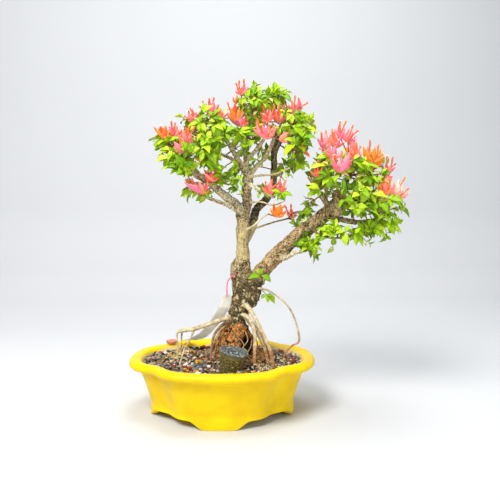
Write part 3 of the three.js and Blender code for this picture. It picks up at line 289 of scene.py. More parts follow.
# Rows of blooms: the main colour, then x, y, z and width of each bloom
BLOOMS = {
  "bloom_left_tip": ["orange", [-76, -25, 376, 21], [-62, -15, 383, 19], [-77, -8, 356, 14]],
  "bloom_left_front": ["pink", [-42, -40, 371, 22], [-56, -42, 357, 18]],
  "bloom_left_top": ["pink", [-38, -20, 399, 20], [-13, -15, 412, 28], [2, -30, 399, 14]],
  "bloom_crown_left": ["pink", [17, -30, 412, 24], [25, -44, 390, 30], [27, -5, 440, 20]],
  "bloom_crown_right": ["coral", [58, -34, 398, 22], [76, -24, 404, 22], [100, -12, 413, 26]],
  "bloom_crown_middle": ["pink", [54, -46, 375, 28], [82, -42, 371, 16]],
  "bloom_left_low": ["coral", [-14, -30, 320, 20], [-32, -36, 308, 27]],
  "bloom_inner": ["coral", [63, -28, 307, 17], [78, -24, 308, 16]],
  "bloom_orange": ["orange", [72, -28, 273, 20]],
  "bloom_thin_branch": ["pink", [100, 18, 274, 15]],
  "bloom_right_left": ["pink", [134, -30, 366, 21], [146, -38, 358, 20], [121, -44, 330, 15]],
  "bloom_right_top": ["pink", [154, -22, 381, 20], [168, -28, 374, 20], [172, -42, 350, 18]],
  "bloom_right_front": ["pink", [140, -54, 348, 21], [150, -62, 333, 27]],
  "bloom_right_orange": ["orange", [199, -32, 350, 32], [224, -15, 336, 21]],
  "bloom_right_tip": ["coral", [211, -48, 304, 20], [231, -34, 303, 25]],
  "bloom_back_left": ["coral", [-66, 40, 384, 22], [-30, 50, 350, 22]],
  "bloom_back_crown": ["pink", [-8, 44, 410, 27], [50, 48, 436, 24]],
  "bloom_back_right": ["coral", [104, 54, 402, 27]],
  "bloom_back_canopy": ["pink", [150, 32, 358, 22], [192, 50, 366, 27], [238, 36, 322, 25]],
}
SPROUT = "leaves_sprout"  # the one spray whose leaves are all placed by the shoots

# Shoots in front: pixel u, v of the photograph and depth y in mm of the shoot's eye, then the pixels where
# its leaves end, some with a width as a share of the length
SHOOTS = [
  [168, 142, -26, (153, 145), (159, 148), (163, 138), (168, 134), (177, 144), (180, 138)],
  [172, 150, -34, (158, 155), (160, 150), (168, 147), (184, 155), (178, 146), (169, 161)],
  [170, 158, -40, (155, 163), (165, 168), (176, 158), (168, 153), (181, 162)],
  [185, 166, -42, (161, 170), (165, 169), (170, 175), (176, 174), (181, 159), (172, 163),
    (198, 167), (190, 174)],
  [187, 151, -48, (183, 141, 0.7), (194, 143), (192, 153), (177, 149), (184, 159)],
  [186, 164, -30, (188, 154), (178, 156), (196, 158), (193, 168), (174, 167)],
  [197, 142, -40, (203, 133), (190, 138), (207, 147), (192, 150), (202, 140)],
  [200, 150, -44, (214, 143), (206, 153), (192, 146), (197, 158)],
  [206, 141, -34, (214, 139, 0.55), (207, 134), (200, 137)],
  [213, 140, -42, (219, 152, 0.7), (223, 143), (209, 145), (225, 138)],
  [214, 125, -44, (219, 139, 0.72), (206, 128), (224, 131), (213, 134)],
  [204, 151, -48, (216, 166, 0.75), (200, 162), (197, 155)],
  [206, 160, -44, (222, 170, 0.5), (213, 172), (203, 168), (222, 161)],
  [213, 117, -34, (194, 121, 0.34), (223, 109), (207, 111), (224, 121), (219, 124)],
  [203, 113, -32, (204, 102), (199, 108), (210, 112), (213, 106)],
  [200, 122, -36, (188, 126), (199, 132), (194, 118), (206, 132), (208, 122)],
  [197, 126, -24, (190, 131), (204, 135), (200, 118)],
  [221, 121, -34, (232, 126), (218, 128), (226, 130), (214, 119)],
  [225, 133, -40, (237, 128), (240, 134), (219, 137), (230, 141)],
  [239, 131, -42, (251, 128), (259, 137), (228, 130), (246, 138)],
  [200, 189, -34, (188, 195), (192, 199), (208, 197), (194, 190)],
  [206, 193, -30, (215, 193), (209, 199), (202, 197)],
  [214, 170, -30, (227, 168), (223, 174), (219, 166), (206, 172)],
  [221, 175, -28, (232, 176), (213, 178), (227, 180)],
  [217, 183, -26, (227, 180), (228, 184), (224, 188), (212, 186)],
  [240, 180, -26, (229, 180), (232, 187), (244, 175), (237, 174), (243, 187)],
  [238, 190, -24, (226, 190), (230, 194), (243, 195), (236, 184)],
  [239, 167, -16, (231, 167), (230, 161), (234, 173)],
  [252, 95, -26, (256, 83), (264, 87), (246, 87), (258, 89), (243, 96), (249, 88)],
  [247, 99, -34, (240, 99), (241, 105), (254, 93), (244, 92), (254, 106), (250, 89)],
  [258, 98, -36, (268, 96), (251, 102), (262, 90), (265, 104), (256, 108)],
  [267, 96, -22, (268, 85), (263, 89), (274, 88), (260, 94), (273, 103)],
  [274, 93, -26, (274, 81, 0.55), (285, 88), (280, 86), (266, 92), (284, 97)],
  [280, 94, -20, (290, 95), (292, 103), (287, 90), (278, 100)],
  [262, 103, -40, (272, 104), (254, 107), (266, 109), (258, 99), (270, 98)],
  [248, 107, -24, (241, 112), (256, 113), (246, 117), (258, 106)],
  [253, 116, -32, (245, 121), (258, 123), (258, 111), (249, 126), (246, 113)],
  [258, 128, -30, (249, 128), (254, 135), (266, 124)],
  [286, 112, -38, (281, 119), (293, 111), (290, 119), (279, 110)],
  [293, 114, -42, (301, 121), (286, 121), (300, 112), (292, 124)],
  [299, 117, -34, (308, 116), (306, 124), (296, 109)],
  [298, 123, -38, (310, 129), (305, 119), (293, 118), (307, 133)],
  [291, 125, -46, (303, 138, 0.8), (284, 130), (288, 119), (281, 126)],
  [303, 131, -42, (318, 134), (313, 129), (309, 141)],
  [302, 138, -44, (317, 139, 0.5), (312, 145), (306, 129)],
  [296, 143, -46, (283, 140), (284, 157), (300, 136), (290, 137), (289, 149)],
  [301, 145, -40, (314, 148), (309, 143), (305, 153), (296, 150)],
  [280, 128, -30, (272, 127), (278, 136), (288, 133), (271, 135)],
  [303, 152, -40, (308, 152), (310, 158), (298, 158)],
  [293, 160, -38, (284, 160), (288, 167), (299, 170), (294, 152), (288, 155)],
  [301, 163, -34, (309, 162), (310, 170), (296, 172), (306, 157), (303, 171)],
  [286, 173, -22, (294, 179), (286, 179), (280, 170)],
  [281, 193, -32, (293, 196), (270, 191), (277, 201), (286, 199), (273, 196)],
  [262, 192, -12, (258, 199), (262, 186), (268, 196), (256, 192)],
  [243, 138, -28, (233, 144), (230, 140), (246, 146), (251, 140), (239, 133)],
  [260, 139, -24, (250, 140), (254, 145), (262, 133), (252, 135)],
  [257, 160, -10, (251, 167), (248, 162), (263, 168), (262, 156)],
  [243, 150, -12, (238, 155), (246, 157), (240, 144)],
  [266, 150, 20, (258, 152), (262, 158), (266, 142), (272, 146)],
  [329, 166, -58, (308, 170, 0.32), (322, 162), (336, 160), (319, 168)],
  [330, 158, -54, (315, 159), (321, 152), (325, 164), (336, 164)],
  [330, 176, -58, (315, 180), (322, 186), (328, 189), (316, 173), (336, 185), (325, 168)],
  [340, 174, -62, (328, 172), (334, 182), (348, 170), (350, 177)],
  [343, 177, -60, (343, 193, 0.34), (352, 181), (335, 177)],
  [320, 190, -44, (310, 197), (306, 188), (308, 184), (318, 197)],
  [353, 160, -58, (367, 161), (368, 172), (346, 165), (360, 155)],
  [358, 164, -56, (374, 178), (362, 175), (370, 165), (350, 168)],
  [364, 164, -50, (383, 170, 0.34), (376, 166), (372, 174), (366, 156)],
  [368, 176, -54, (356, 178), (362, 184), (378, 183), (370, 187)],
  [374, 182, -52, (391, 182, 0.34), (378, 189), (384, 176), (366, 177)],
  [380, 175, -48, (392, 173), (388, 168), (374, 170)],
  [366, 186, -64, (361, 204, 0.62), (372, 192), (358, 190)],
  [360, 202, -60, (349, 196, 0.55), (354, 204), (368, 198)],
  [364, 205, -62, (380, 217, 0.45), (372, 204), (360, 212), (376, 211)],
  [371, 194, -56, (382, 201), (388, 198), (376, 204), (366, 199)],
  [378, 203, -58, (388, 214, 0.75), (384, 199), (373, 212)],
  [388, 199, -48, (404, 202), (402, 208), (394, 195), (392, 209), (398, 198)],
  [384, 214, -52, (399, 222), (395, 216), (378, 221), (390, 225)],
  [388, 222, -48, (402, 234, 0.34), (397, 226), (388, 230), (394, 235)],
  [370, 228, -46, (369, 218), (362, 225), (376, 221), (378, 237)],
  [374, 228, -50, (387, 230, 0.5), (381, 238), (387, 240), (382, 224)],
  [334, 229, -52, (327, 219, 0.5), (337, 218), (343, 229), (326, 228)],
  [332, 232, -48, (318, 229), (322, 236), (327, 236), (338, 227)],
  [345, 232, -56, (335, 234, 0.6), (350, 225, 0.6), (340, 240), (353, 230), (346, 246)],
  [354, 234, -54, (361, 228), (362, 237), (350, 241), (356, 246), (363, 247), (347, 230)],
  [310, 205, -20, (300, 205), (305, 212), (316, 199), (303, 201), (319, 206)],
  [307, 212, -16, (297, 214), (302, 219), (312, 219), (316, 212)],
  [309, 241, -34, (297, 244), (302, 251), (307, 236), (300, 239)],
  [314, 244, -36, (313, 255), (320, 251), (321, 244), (308, 251), (309, 247)],
  [352, 212, 4, (343, 215), (352, 219), (345, 207), (361, 216)],
  [302, 222, -30, (307, 219), (299, 226)],
  [342, 204, 18, (334, 198), (346, 196), (337, 208), (350, 204)],
  [261, 275, -26, (248, 279, 0.55), (262, 268), (271, 282, 0.6), (255, 270)],
  [266, 294, -18, (275, 304), (268, 303), (261, 299), (273, 297)],
  [325, 183, -6, (316, 179), (320, 191), (330, 177), (333, 187), (326, 195), (318, 185)],
  [331, 191, -2, (324, 199), (336, 183), (328, 185), (338, 193), (333, 200)],
  [319, 172, -10, (311, 176), (324, 179), (315, 168), (326, 170), (319, 182)],
]
CREAM_LEAF = (238, 220, 140)
RED_LEAF = (240, 120, 50)
ODD_LEAVES = {(380, 172): CREAM_LEAF, (374, 170): CREAM_LEAF, (350, 177): CREAM_LEAF, (356, 178): CREAM_LEAF,
  (308, 152): RED_LEAF, (310, 158): RED_LEAF, (305, 153): RED_LEAF}
# front shoots whose leaves get painted shade
SHADED_SHOOTS = [(310, 205), (307, 212), (352, 212), (342, 204), (266, 150), (262, 192), (248, 107), (253, 116),
  (325, 183), (331, 191)]
LOWEST_FULL = 260  # the pixel row below which no shoot has others behind it
BACK_LAYERS = [(20, 0.3), (42, 0.15)]  # how far behind each front shoot another one grows, and its shade
SHOOT_ROW = 700
BACK_ROW = 800

# Blooms in front: the pixel of the foot, the bracts' colour, and the pixels where bracts and tubes end
CUPS = {
  "bloom_left_tip": [
    [(163, 139), "orange", [(158, 128), (162, 126), (166, 125), (170, 128), (170, 134)],
      [(154, 127), (160, 125)]],
    [(175, 139), "pink", [(170, 126), (174, 125), (179, 129), (180, 135), (183, 133)],
      [(171, 121), (175, 122)]],
    [(167, 152), "orange", [(163, 149), (167, 146), (170, 150)], []]],
  "bloom_left_front": [
    [(188, 144), "coral", [(183, 129), (187, 128), (192, 131), (196, 136), (183, 138)],
      [(184, 125), (189, 126), (195, 126)]],
    [(182, 154), "coral", [(174, 141), (178, 144), (181, 139)], [(180, 137)]]],
  "bloom_left_top": [
    [(194, 122), "pink", [(188, 112), (192, 108), (197, 111), (199, 116), (187, 120)],
      [(184, 116), (188, 110), (190, 108)]],
    [(211, 115), "pink", [(206, 103), (210, 100), (214, 101), (218, 104), (221, 108), (205, 109)],
      [(202, 101), (209, 98), (214, 97), (199, 106)]],
    [(221, 120), "orange", [(218, 112), (223, 111), (226, 114)], [(228, 113), (220, 109)]]],
  "bloom_crown_left": [
    [(241, 95), "pink", [(235, 90), (245, 83), (249, 87), (242, 88)], [(236, 83), (239, 80), (244, 79)]],
    [(236, 121), "orange", [(230, 107), (234, 104), (239, 106), (241, 112), (229, 113)],
      [(227, 101), (233, 97), (237, 95)]],
    [(241, 127), "pink", [(226, 113), (235, 112), (241, 113), (247, 115), (253, 119)],
      [(243, 109), (247, 108), (252, 114)]]],
  "bloom_crown_right": [
    [(269, 122), "coral", [(260, 112), (265, 109), (270, 109), (274, 111), (260, 119)],
      [(263, 106), (270, 107), (275, 105)]],
    [(278, 124), "coral", [(275, 108), (280, 106), (285, 110), (285, 117)], [(280, 102), (285, 104)]],
    [(296, 115), "pink", [(288, 104), (292, 100), (300, 99), (303, 104), (288, 110)],
      [(295, 95), (299, 97), (308, 102)]]],
  "bloom_crown_middle": [
    [(267, 139), "pink", [(252, 127), (256, 120), (262, 123), (268, 123), (276, 127), (274, 134)],
      [(257, 119), (264, 120), (270, 124), (272, 130)]],
    [(279, 140), "coral", [(289, 132), (291, 137)], [(290, 133)]]],
  "bloom_left_low": [
    [(214, 182), "coral", [(203, 172), (207, 170), (211, 172), (216, 173), (219, 177)],
      [(204, 170), (208, 167), (216, 167)]],
    [(204, 194), "pink", [(184, 182), (190, 179), (198, 181), (205, 183), (209, 189)],
      [(184, 179), (187, 176), (191, 178)]]],
  "bloom_inner": [
    [(269, 194), "coral", [(262, 186), (266, 184), (271, 180), (276, 183), (276, 189)],
      [(265, 180), (272, 179)]],
    [(281, 193), "coral", [(276, 184), (281, 181), (285, 182), (286, 188)], [(280, 178), (286, 180)]]],
  "bloom_orange": [
    [(277, 217), "amber", [(270, 208), (274, 203), (281, 204), (287, 210), (285, 214)], [(285, 205)]]],
  "bloom_thin_branch": [
    [(292, 218), "pink", [(286, 212), (291, 207), (296, 211), (297, 215)], [(285, 206), (291, 204)]]],
  "bloom_right_left": [
    [(326, 149), "pink", [(317, 138), (321, 135), (326, 133), (331, 134), (333, 140)],
      [(321, 132), (326, 130)]],
    [(335, 148), "pink", [(330, 133), (335, 133), (341, 136), (343, 141)], [(332, 129), (334, 131)]],
    [(318, 177), "coral", [(310, 171), (314, 170), (319, 169)], [(313, 165), (318, 160), (324, 163)]]],
  "bloom_right_top": [
    [(341, 139), "pink", [(334, 128), (339, 124), (345, 127), (348, 131)], [(340, 120), (346, 121)]],
    [(348, 142), "pink", [(344, 131), (349, 128), (353, 131), (358, 138), (343, 136)],
      [(353, 125), (358, 130)]],
    [(355, 159), "coral", [(349, 150), (354, 147), (360, 149), (362, 153), (348, 156)],
      [(354, 144), (361, 146)]]],
  "bloom_right_front": [
    [(332, 159), "pink", [(324, 148), (330, 144), (336, 145), (342, 149), (340, 154)], [(334, 150)]],
    [(340, 173), "pink", [(331, 157), (335, 153), (340, 158), (346, 156), (350, 151), (351, 160)],
      [(334, 154), (342, 151), (348, 146)]]],
  "bloom_right_orange": [
    [(371, 168), "orange", [(363, 146), (368, 146), (375, 146), (381, 148), (384, 156), (382, 163),
      (360, 157)],
      [(370, 140), (379, 144), (384, 153)]],
    [(388, 173), "pink", [(382, 164), (386, 162), (391, 164), (396, 166)],
      [(387, 155), (393, 157), (396, 163)]]],
  "bloom_right_tip": [
    [(386, 195), "orange", [(377, 187), (381, 180), (385, 180), (390, 180), (391, 188)],
      [(383, 177), (391, 178)]],
    [(395, 199), "pale", [(389, 186), (393, 181), (399, 179), (403, 183), (403, 190), (408, 196)],
      [(405, 177), (409, 188)]]],
}
# Places of the photograph with few leaves: the pixel in the middle and half sizes
CLEARINGS = np.array([
  (232, 158, 8, 9), (222, 205, 20, 11), (243, 160, 9, 14), (256, 153, 9, 11), (243, 195, 10, 20),
  (272, 152, 10, 18), (290, 184, 18, 9), (300, 192, 9, 22), (328, 202, 13, 15), (338, 218, 22, 5),
  (258, 172, 12, 8), (268, 206, 16, 9), (226, 192, 14, 9), (270, 235, 30, 14)], float)
CLEAR_DEPTH = 30
FILL_SHADE = 0.14
LEFT_OUT = 0.22  # share of the leaves beyond the placed ones that is left out, so that twigs show

# Root mound: centre x, height, half width and half depth of each level
MOUND = [(24, 54, 39, 34), (24, 64, 36.5, 32), (22, 75, 33, 30), (20, 86, 29, 27), (19, 97, 25.5, 23.5),
  (19, 108, 20, 19), (20, 118, 14, 14), (20, 126, 9, 9)]
MOUND_AROUND = 40
# the hollow is a dent in the mound that is also painted near black as shade
HOLLOW = (35, 90, 10, 18)  # the dark hollow in its front: middle x and z, and half sizes

# Thin roots: runners down the mound, and tangles of fibres on the soil
RUNNERS = 64
RUNNER_TINTS = [(206, 158, 98), (104, 60, 28)]
TANGLES = [  # x, y, reach and number of fibres
  (56, -46, 20, 46), (-14, -24, 13, 14), (76, -28, 16, 22), (20, -46, 15, 12), (-58, -22, 13, 12)]
TANGLE_TINTS = [(28, 30, 16), (60, 44, 24), (214, 196, 150), (130, 92, 54), (44, 46, 22), (226, 214, 178)]

# Camera of the photograph: 500 by 500 pixels with a focal length of 500 pixels
CAMERA = (0, -685, 261)
CAMERA_YAW = 3.17
CAMERA_PITCH = -3.43
FOCAL_PIXELS = 500
MIDDLE_PIXEL = 250


def draw(a, b, c, d):
    """Numbers between 0 and 1 that depend only on the four whole numbers given."""
    whole = 0xFFFFFFFF
    h = ((a + 1) * 374761393 & whole) ^ ((b + 1) * 668265263 & whole)
    h ^= ((c + 1) * 1274126177 & whole) ^ ((d + 1) * 461845907 & whole)
    h = (h ^ (h >> 15)) * 2246822519 & whole
    h = (h ^ (h >> 13)) * 3266489917 & whole
    return (h ^ (h >> 16)) / 4294967296


def unit(v):
    return np.asarray(v, float) / np.linalg.norm(v)


def mixed(a, b, share):
    return np.asarray(a, float) * (1 - share) + np.asarray(b, float) * share


def smoothstep(value, low, high):
    share = np.clip((value - low) / (high - low), 0, 1)
    return share * share * (3 - 2 * share)


def linear(color):
    """An sRGB colour of 0 to 255 as linear light."""
    share = np.asarray(color, float) / 255
    return np.where(share <= 0.04045, share / 12.92, ((share + 0.055) / 1.055) ** 2.4)


def camera_frame():
    """The directions right, up and ahead of the photograph's camera."""
    yaw, pitch = CAMERA_YAW * DEGREE, CAMERA_PITCH * DEGREE
    ahead = np.array([math.sin(yaw) * math.cos(pitch), math.cos(yaw) * math.cos(pitch), math.sin(pitch)])
    right = np.array([math.cos(yaw), -math.sin(yaw), 0])
    return right, np.cross(right, ahead), ahead


RIGHT, ABOVE, AHEAD = camera_frame()


def photo_pixel(point):
    """The pixel of the photograph at which a point stands."""
    offset = np.asarray(point, float) - CAMERA
    scale = FOCAL_PIXELS / (offset @ AHEAD)
    return MIDDLE_PIXEL + scale * (offset @ RIGHT), MIDDLE_PIXEL - scale * (offset @ ABOVE)


def from_photo(u, v, y):
    """The point of depth y that stands at a pixel of the photograph."""
    look = AHEAD + RIGHT * (u - MIDDLE_PIXEL) / FOCAL_PIXELS + ABOVE * (MIDDLE_PIXEL - v) / FOCAL_PIXELS
    return np.array(CAMERA) + look * (y - CAMERA[1]) / look[1]


def to_row(points):
    return np.asarray(points, float) * MM + POT_CENTRE


def draws(count, a, b, d):
    """A row of drawn numbers, one for each value of the third whole number."""
    return [draw(a, b, c, d) for c in range(count)]


def draws_from(first, count, a, b, c):
    """A row of drawn numbers, one for each value of the fourth whole number from the first on."""
    return [draw(a, b, c, first + d) for d in range(count)]


def picked(choices, share):
    return choices[int(share * len(choices)) % len(choices)]


def clouds(points, size, seed=0.0, octaves=2):
    """Soft noise between about -1 and 1 at points in mm, with features of the given size in mm."""
    shift = Vector((seed * 7.3, seed * 3.1 + 5, seed * 1.7 - 9))
    return np.array([
        noise.fractal(Vector(p) / size + shift, 0.9, 2.1, octaves, noise_basis="PERLIN_ORIGINAL")
        for p in points])


def turned(points, axis, angle):
    """Points turned about a main axis, numbered 0 to 2."""
    a, b = (axis + 1) % 3, (axis + 2) % 3
    c, s = math.cos(angle), math.sin(angle)
    matrix = np.eye(3)
    matrix[a, a] = matrix[b, b] = c
    matrix[a, b], matrix[b, a] = s, -s
    return np.asarray(points, float) @ matrix


def out_and_up(turn, rise, frame):
    """The direction at a turn and a rise in a frame, and the direction square to it on its upper side."""
    c, s, run, climb = math.cos(turn), math.sin(turn), math.cos(rise), math.sin(rise)
    return np.array([c * run, s * run, climb]) @ frame, np.array([-c * climb, -s * climb, run]) @ frame


def new_mesh(name, points, faces):
    """A mesh in metres in the row frame, from points in mm."""
    mesh = bpy.data.meshes.new(name)
    mesh.from_pydata(to_row(points).tolist(), [], faces)
    return mesh


def new_object(name, data):
    made = bpy.data.objects.new(name, data)
    bpy.context.scene.collection.objects.link(made)
    return made


class Build:
    """A mesh in the making: points in mm, faces, and the tint and leaf coordinates of each point."""

    def __init__(self):
        self.points, self.faces, self.kinds = [], [], []
        self.tints, self.uvs, self.count = [], [], 0

    def add(self, points, faces, kind=0, tint=(1, 1, 1), uv=None):
        points = np.asarray(points, float).reshape(-1, 3)
        self.points.append(points)
        self.faces += [tuple(i + self.count for i in face) for face in faces]
        self.kinds += [kind] * len(faces)
        self.tints.append(np.broadcast_to(np.asarray(tint, float), (len(points), 3)))
        self.uvs.append(np.zeros((len(points), 2)) if uv is None else np.asarray(uv, float))
        self.count += len(points)

    def add_rings(self, rings, closed_ends=True, tint=(1, 1, 1)):
        """A skin over a stack of rings with the same number of points."""
        self.add(np.vstack(rings), loft_faces(len(rings), len(rings[0]), closed_ends), tint=tint)

    def add_tube(self, line, sides, kind=0, tint=(1, 1, 1), round_end=True):
        self.add(*tube_parts(np.asarray(line, float), sides, round_end), kind, tint)

    def add_stem(self, spots, radii, sides, color, kind=1):
        """A smooth stem through spots, which tapers between its two radii."""
        rows = np.column_stack([np.asarray(spots, float), np.linspace(*radii, len(spots))])
        self.add_tube(smooth_line(rows, STEM_STEP), sides, kind, linear(color))

    def finish(self, name, nodes, materials, sharp=None, smooth=True):
        mesh = new_mesh(name, np.vstack(self.points), self.faces)
        piece = make_piece(name, mesh, nodes, materials, sharp, smooth)
        mesh.polygons.foreach_set("material_index", self.kinds)
        set_tint(mesh, np.vstack(self.tints))
        corners = np.zeros(len(mesh.loops), int)
        mesh.loops.foreach_get("vertex_index", corners)
        layer = mesh.uv_layers.new(name="blade")
        layer.data.foreach_set("uv", np.vstack(self.uvs)[corners].ravel())
        return piece


def set_tint(mesh, colors):
    layer = mesh.color_attributes.new("tint", "FLOAT_COLOR", "POINT")
    layer.data.foreach_set("color", np.hstack([colors, np.ones((len(colors), 1))]).ravel())


def set_values(mesh, name, values):
    kind = "FLOAT_VECTOR" if np.ndim(values) == 2 else "FLOAT"
    layer = mesh.attributes.new(name, kind, "POINT")
    layer.data.foreach_set("vector" if kind == "FLOAT_VECTOR" else "value", np.asarray(values, float).ravel())


def make_piece(name, mesh, nodes, materials, sharp=None, smooth=True):
    """Shows a mesh that is in metres in the row frame, in place of the nodes it stands for."""
    mesh.update()
    piece = new_object(name, mesh)
    for material in materials:
        mesh.materials.append(material)
    mesh.polygons.foreach_set("use_smooth", [smooth] * len(mesh.polygons))
    if sharp:
        mesh.set_sharp_from_angle(angle=sharp * DEGREE)
    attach(piece, "root")
    if nodes:
        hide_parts(*nodes)
    return piece


# Shaders
class Shader:
    """A material whose Principled surface takes fixed values and the outputs of other nodes."""

    def __init__(self, name, **fixed):
        self.material = bpy.data.materials.new(name)
        self.material.use_nodes = True
        self.tree = self.material.node_tree
        self.surface = self.tree.nodes["Principled BSDF"]
        self.set(**fixed)

    def set(self, **values):
        for key, value in values.items():
            self.give(self.surface.inputs[key.replace("_", " ")], value)

    def give(self, socket, value):
        if isinstance(value, bpy.types.NodeSocket):
            self.tree.links.new(value, socket)
        else:
            socket.default_value = value

    def node(self, kind, inputs=(), **settings):
        made = self.tree.nodes.new(kind)
        for key, value in settings.items():
            setattr(made, key, value)
        for key, value in dict(inputs).items():
            self.give(made.inputs[key], value)
        return made

    def place(self):
        return self.node("ShaderNodeTexCoord").outputs["Object"]

    def along_and_across(self):
        """How far along a blade from its base, and how far from its midrib, both 0 to 1."""
        place = self.node("ShaderNodeUVMap", uv_map="blade").outputs[0]
        split = self.node("ShaderNodeSeparateXYZ", {0: place})
        return split.outputs[0], self.math("ABSOLUTE", split.outputs[1])

    def attribute(self, name, output="Color"):
        return self.node("ShaderNodeAttribute", attribute_name=name).outputs[output]

    def noise(self, size, detail=3, vector=None, roughness=0.5, distortion=0):
        """Noise with features of the given size in mm, from 0 to 1."""
        inputs = {"Vector": vector or self.place(), "Scale": 1 / (size * MM), "Detail": detail,
          "Roughness": roughness, "Distortion": distortion}
        return self.node("ShaderNodeTexNoise", inputs).outputs[0]

    def spread(self, value, low, high, start=0.0, end=1.0):
        """A value spread from low..high to start..end and held there."""
        inputs = {0: value, 1: low, 2: high, 3: start, 4: end}
        return self.node("ShaderNodeMapRange", inputs, interpolation_type="SMOOTHSTEP").outputs[0]

    def math(self, operation, a, b=0.5):
        return self.node("ShaderNodeMath", {0: a, 1: b}, operation=operation).outputs[0]

    def times(self, a, b):
        return self.math("MULTIPLY", a, b)

    def mix(self, share, a, b, blend="MIX"):
        """Two colours mixed. A colour is a socket, an sRGB tuple or an array of linear light."""
        def full(value):
            if isinstance(value, bpy.types.NodeSocket):
                return value
            return (*(linear(value) if isinstance(value, tuple) else value), 1)
        inputs = {0: share, 6: full(a), 7: full(b)}
        return self.node("ShaderNodeMix", inputs, data_type="RGBA", blend_type=blend).outputs[2]

    def toned(self, color, tone):
        """A colour made lighter or darker by a number round 1."""
        grey = self.node("ShaderNodeCombineXYZ", {0: tone, 1: tone, 2: tone}).outputs[0]
        return self.mix(1.0, color, grey, "MULTIPLY")

    def veined(self, along, across, slant, pitch):
        """Waves across a blade, which slant from its midrib like side veins."""
        slanted = self.math("SUBTRACT", along, self.times(across, slant))
        return self.math("SINE", self.times(slanted, pitch))

    def bump(self, height, distance, strength=1.0, under=None):
        inputs = {"Height": height, "Distance": distance * MM, "Strength": strength}
        if under:
            inputs["Normal"] = under
        return self.node("ShaderNodeBump", inputs).outputs[0]

    def stretched(self, x, y, z):
        inputs = {0: self.place(), 1: (x, y, z)}
        return self.node("ShaderNodeVectorMath", inputs, operation="MULTIPLY").outputs[0]


def bark_shader():
    s = Shader("bark", Roughness=0.9, Specular_IOR_Level=0.2)
    grain = s.attribute("grain", "Vector")
    rough, recess_shade, foot = (s.attribute(name, "Fac") for name in ("rough", "recess_shade", "foot"))
    color = s.toned(s.attribute("tint"), s.spread(s.noise(9, 5), 0.3, 0.7, 0.8, 1.25))
    color = s.mix(s.spread(s.noise(2.2, 4, grain), 0.42, 0.7, 0.0, 0.45), color, (228, 212, 170))
    patch = s.times(s.spread(s.noise(6, 5, None, 0.62), 0.5, 0.6), rough)
    color = s.mix(s.times(patch, 0.5), color, (224, 208, 166))
    clump = s.times(s.spread(s.noise(5, 5, s.stretched(1.0, 1.3, 0.8), 0.65), 0.53, 0.6), rough)
    color = s.mix(s.times(clump, 0.42), color, (92, 76, 44))
    crack = s.noise(3.0, 5, grain, 0.6, 0.6)
    color = s.mix(s.times(s.times(s.spread(crack, 0.48, 0.41), rough), 0.8), color, (54, 43, 24))
    fleck = s.times(s.spread(s.noise(2.1, 4, None, 0.6), 0.53, 0.58), rough)
    color = s.mix(s.times(fleck, 0.8), color, (44, 35, 20))
    blotch = s.spread(s.noise(6.5, 6, s.stretched(1.15, 1.0, 0.8), 0.72, 0.5), 0.5, 0.58)
    moss = s.mix(blotch, (42, 37, 19), (238, 216, 162))
    moss = s.mix(s.spread(s.noise(14, 3), 0.42, 0.62, 0.0, 0.35), moss, (150, 124, 76))
    moss = s.mix(s.spread(s.noise(2.4, 5, None, 0.65), 0.53, 0.59), moss, (30, 26, 14))
    color = s.mix(s.times(foot, 0.85), color, moss)
    # painted shade: the recesses of the bark are darkened towards near black
    color = s.mix(s.times(recess_shade, 0.85), color, (30, 23, 14))
    bump = s.bump(s.noise(1.0, 4, grain, 0.6), 0.35, 0.8)
    bump = s.bump(crack, 0.9, 0.7, bump)
    bump = s.bump(s.times(blotch, foot), 0.8, 0.6, bump)
    s.set(Base_Color=color, Normal=bump)
    return s.material


def mound_shader():
    s = Shader("root_fibre", Roughness=0.92, Specular_IOR_Level=0.2)
    chunk = s.noise(9, 6, s.stretched(0.8, 1.0, 1.3), 0.65, 1.2)
    color = s.mix(s.spread(chunk, 0.38, 0.6), (124, 72, 34), (208, 138, 70))
    color = s.mix(s.spread(s.noise(2.4, 5, None, 0.6), 0.52, 0.64, 0, 0.75), color, (236, 200, 140))
    color = s.mix(s.spread(s.noise(2.8, 5, None, 0.65), 0.47, 0.4), color, (40, 22, 10))
    # painted shade: the recesses and the hollow of the mound are darkened towards black
    color = s.mix(s.attribute("recess_shade", "Fac"), color, (13, 8, 5))
    bump = s.bump(s.noise(1.6, 5, None, 0.65), 0.9, 0.9)
    s.set(Base_Color=color, Normal=s.bump(chunk, 1.2, 0.8, bump))
    return s.material


def leaf_shader():
    # painted light: the leaves glow faintly in their own colour
    s = Shader("leaf", Roughness=0.5, Specular_IOR_Level=0.28, Emission_Strength=0.1)
    along, across = s.along_and_across()
    color = s.toned(s.attribute("tint"), s.spread(s.noise(6, 3), 0.3, 0.7, 0.84, 1.14))
    wave = s.veined(along, across, 0.22, 44)
    color = s.mix(s.spread(wave, 0.72, 1.0, 0, 0.14), color, (176, 216, 60))
    color = s.mix(s.spread(across, 0.1, 0.02, 0, 0.4), color, (190, 222, 90))
    height = s.math("ADD", s.times(wave, 0.3), s.spread(across, 0.14, 0.0, 0.0, -1.0))
    s.set(Base_Color=color, Emission_Color=color, Normal=s.bump(height, 0.22, 0.6))
    return s.material


def bract_shader():
    # painted light: the bracts glow in their own colour
    s = Shader("bracts", Roughness=0.65, Specular_IOR_Level=0.2, Emission_Strength=0.22)
    along, across = s.along_and_across()
    wave = s.veined(along, across, 0.3, 34)
    color = s.mix(s.spread(wave, 0.6, 1.0, 0, 0.1), s.attribute("tint"), (230, 80, 96))
    color = s.mix(s.spread(across, 0.1, 0.02, 0, 0.3), color, (236, 96, 84))
    color = s.mix(s.spread(across, 0.6, 1.0, 0, 0.25), color, (255, 188, 186))
    height = s.math("ADD", wave, s.times(s.noise(1.1, 3), 1.5))
    s.set(Base_Color=color, Emission_Color=color, Normal=s.bump(height, 0.16, 0.5))
    return s.material


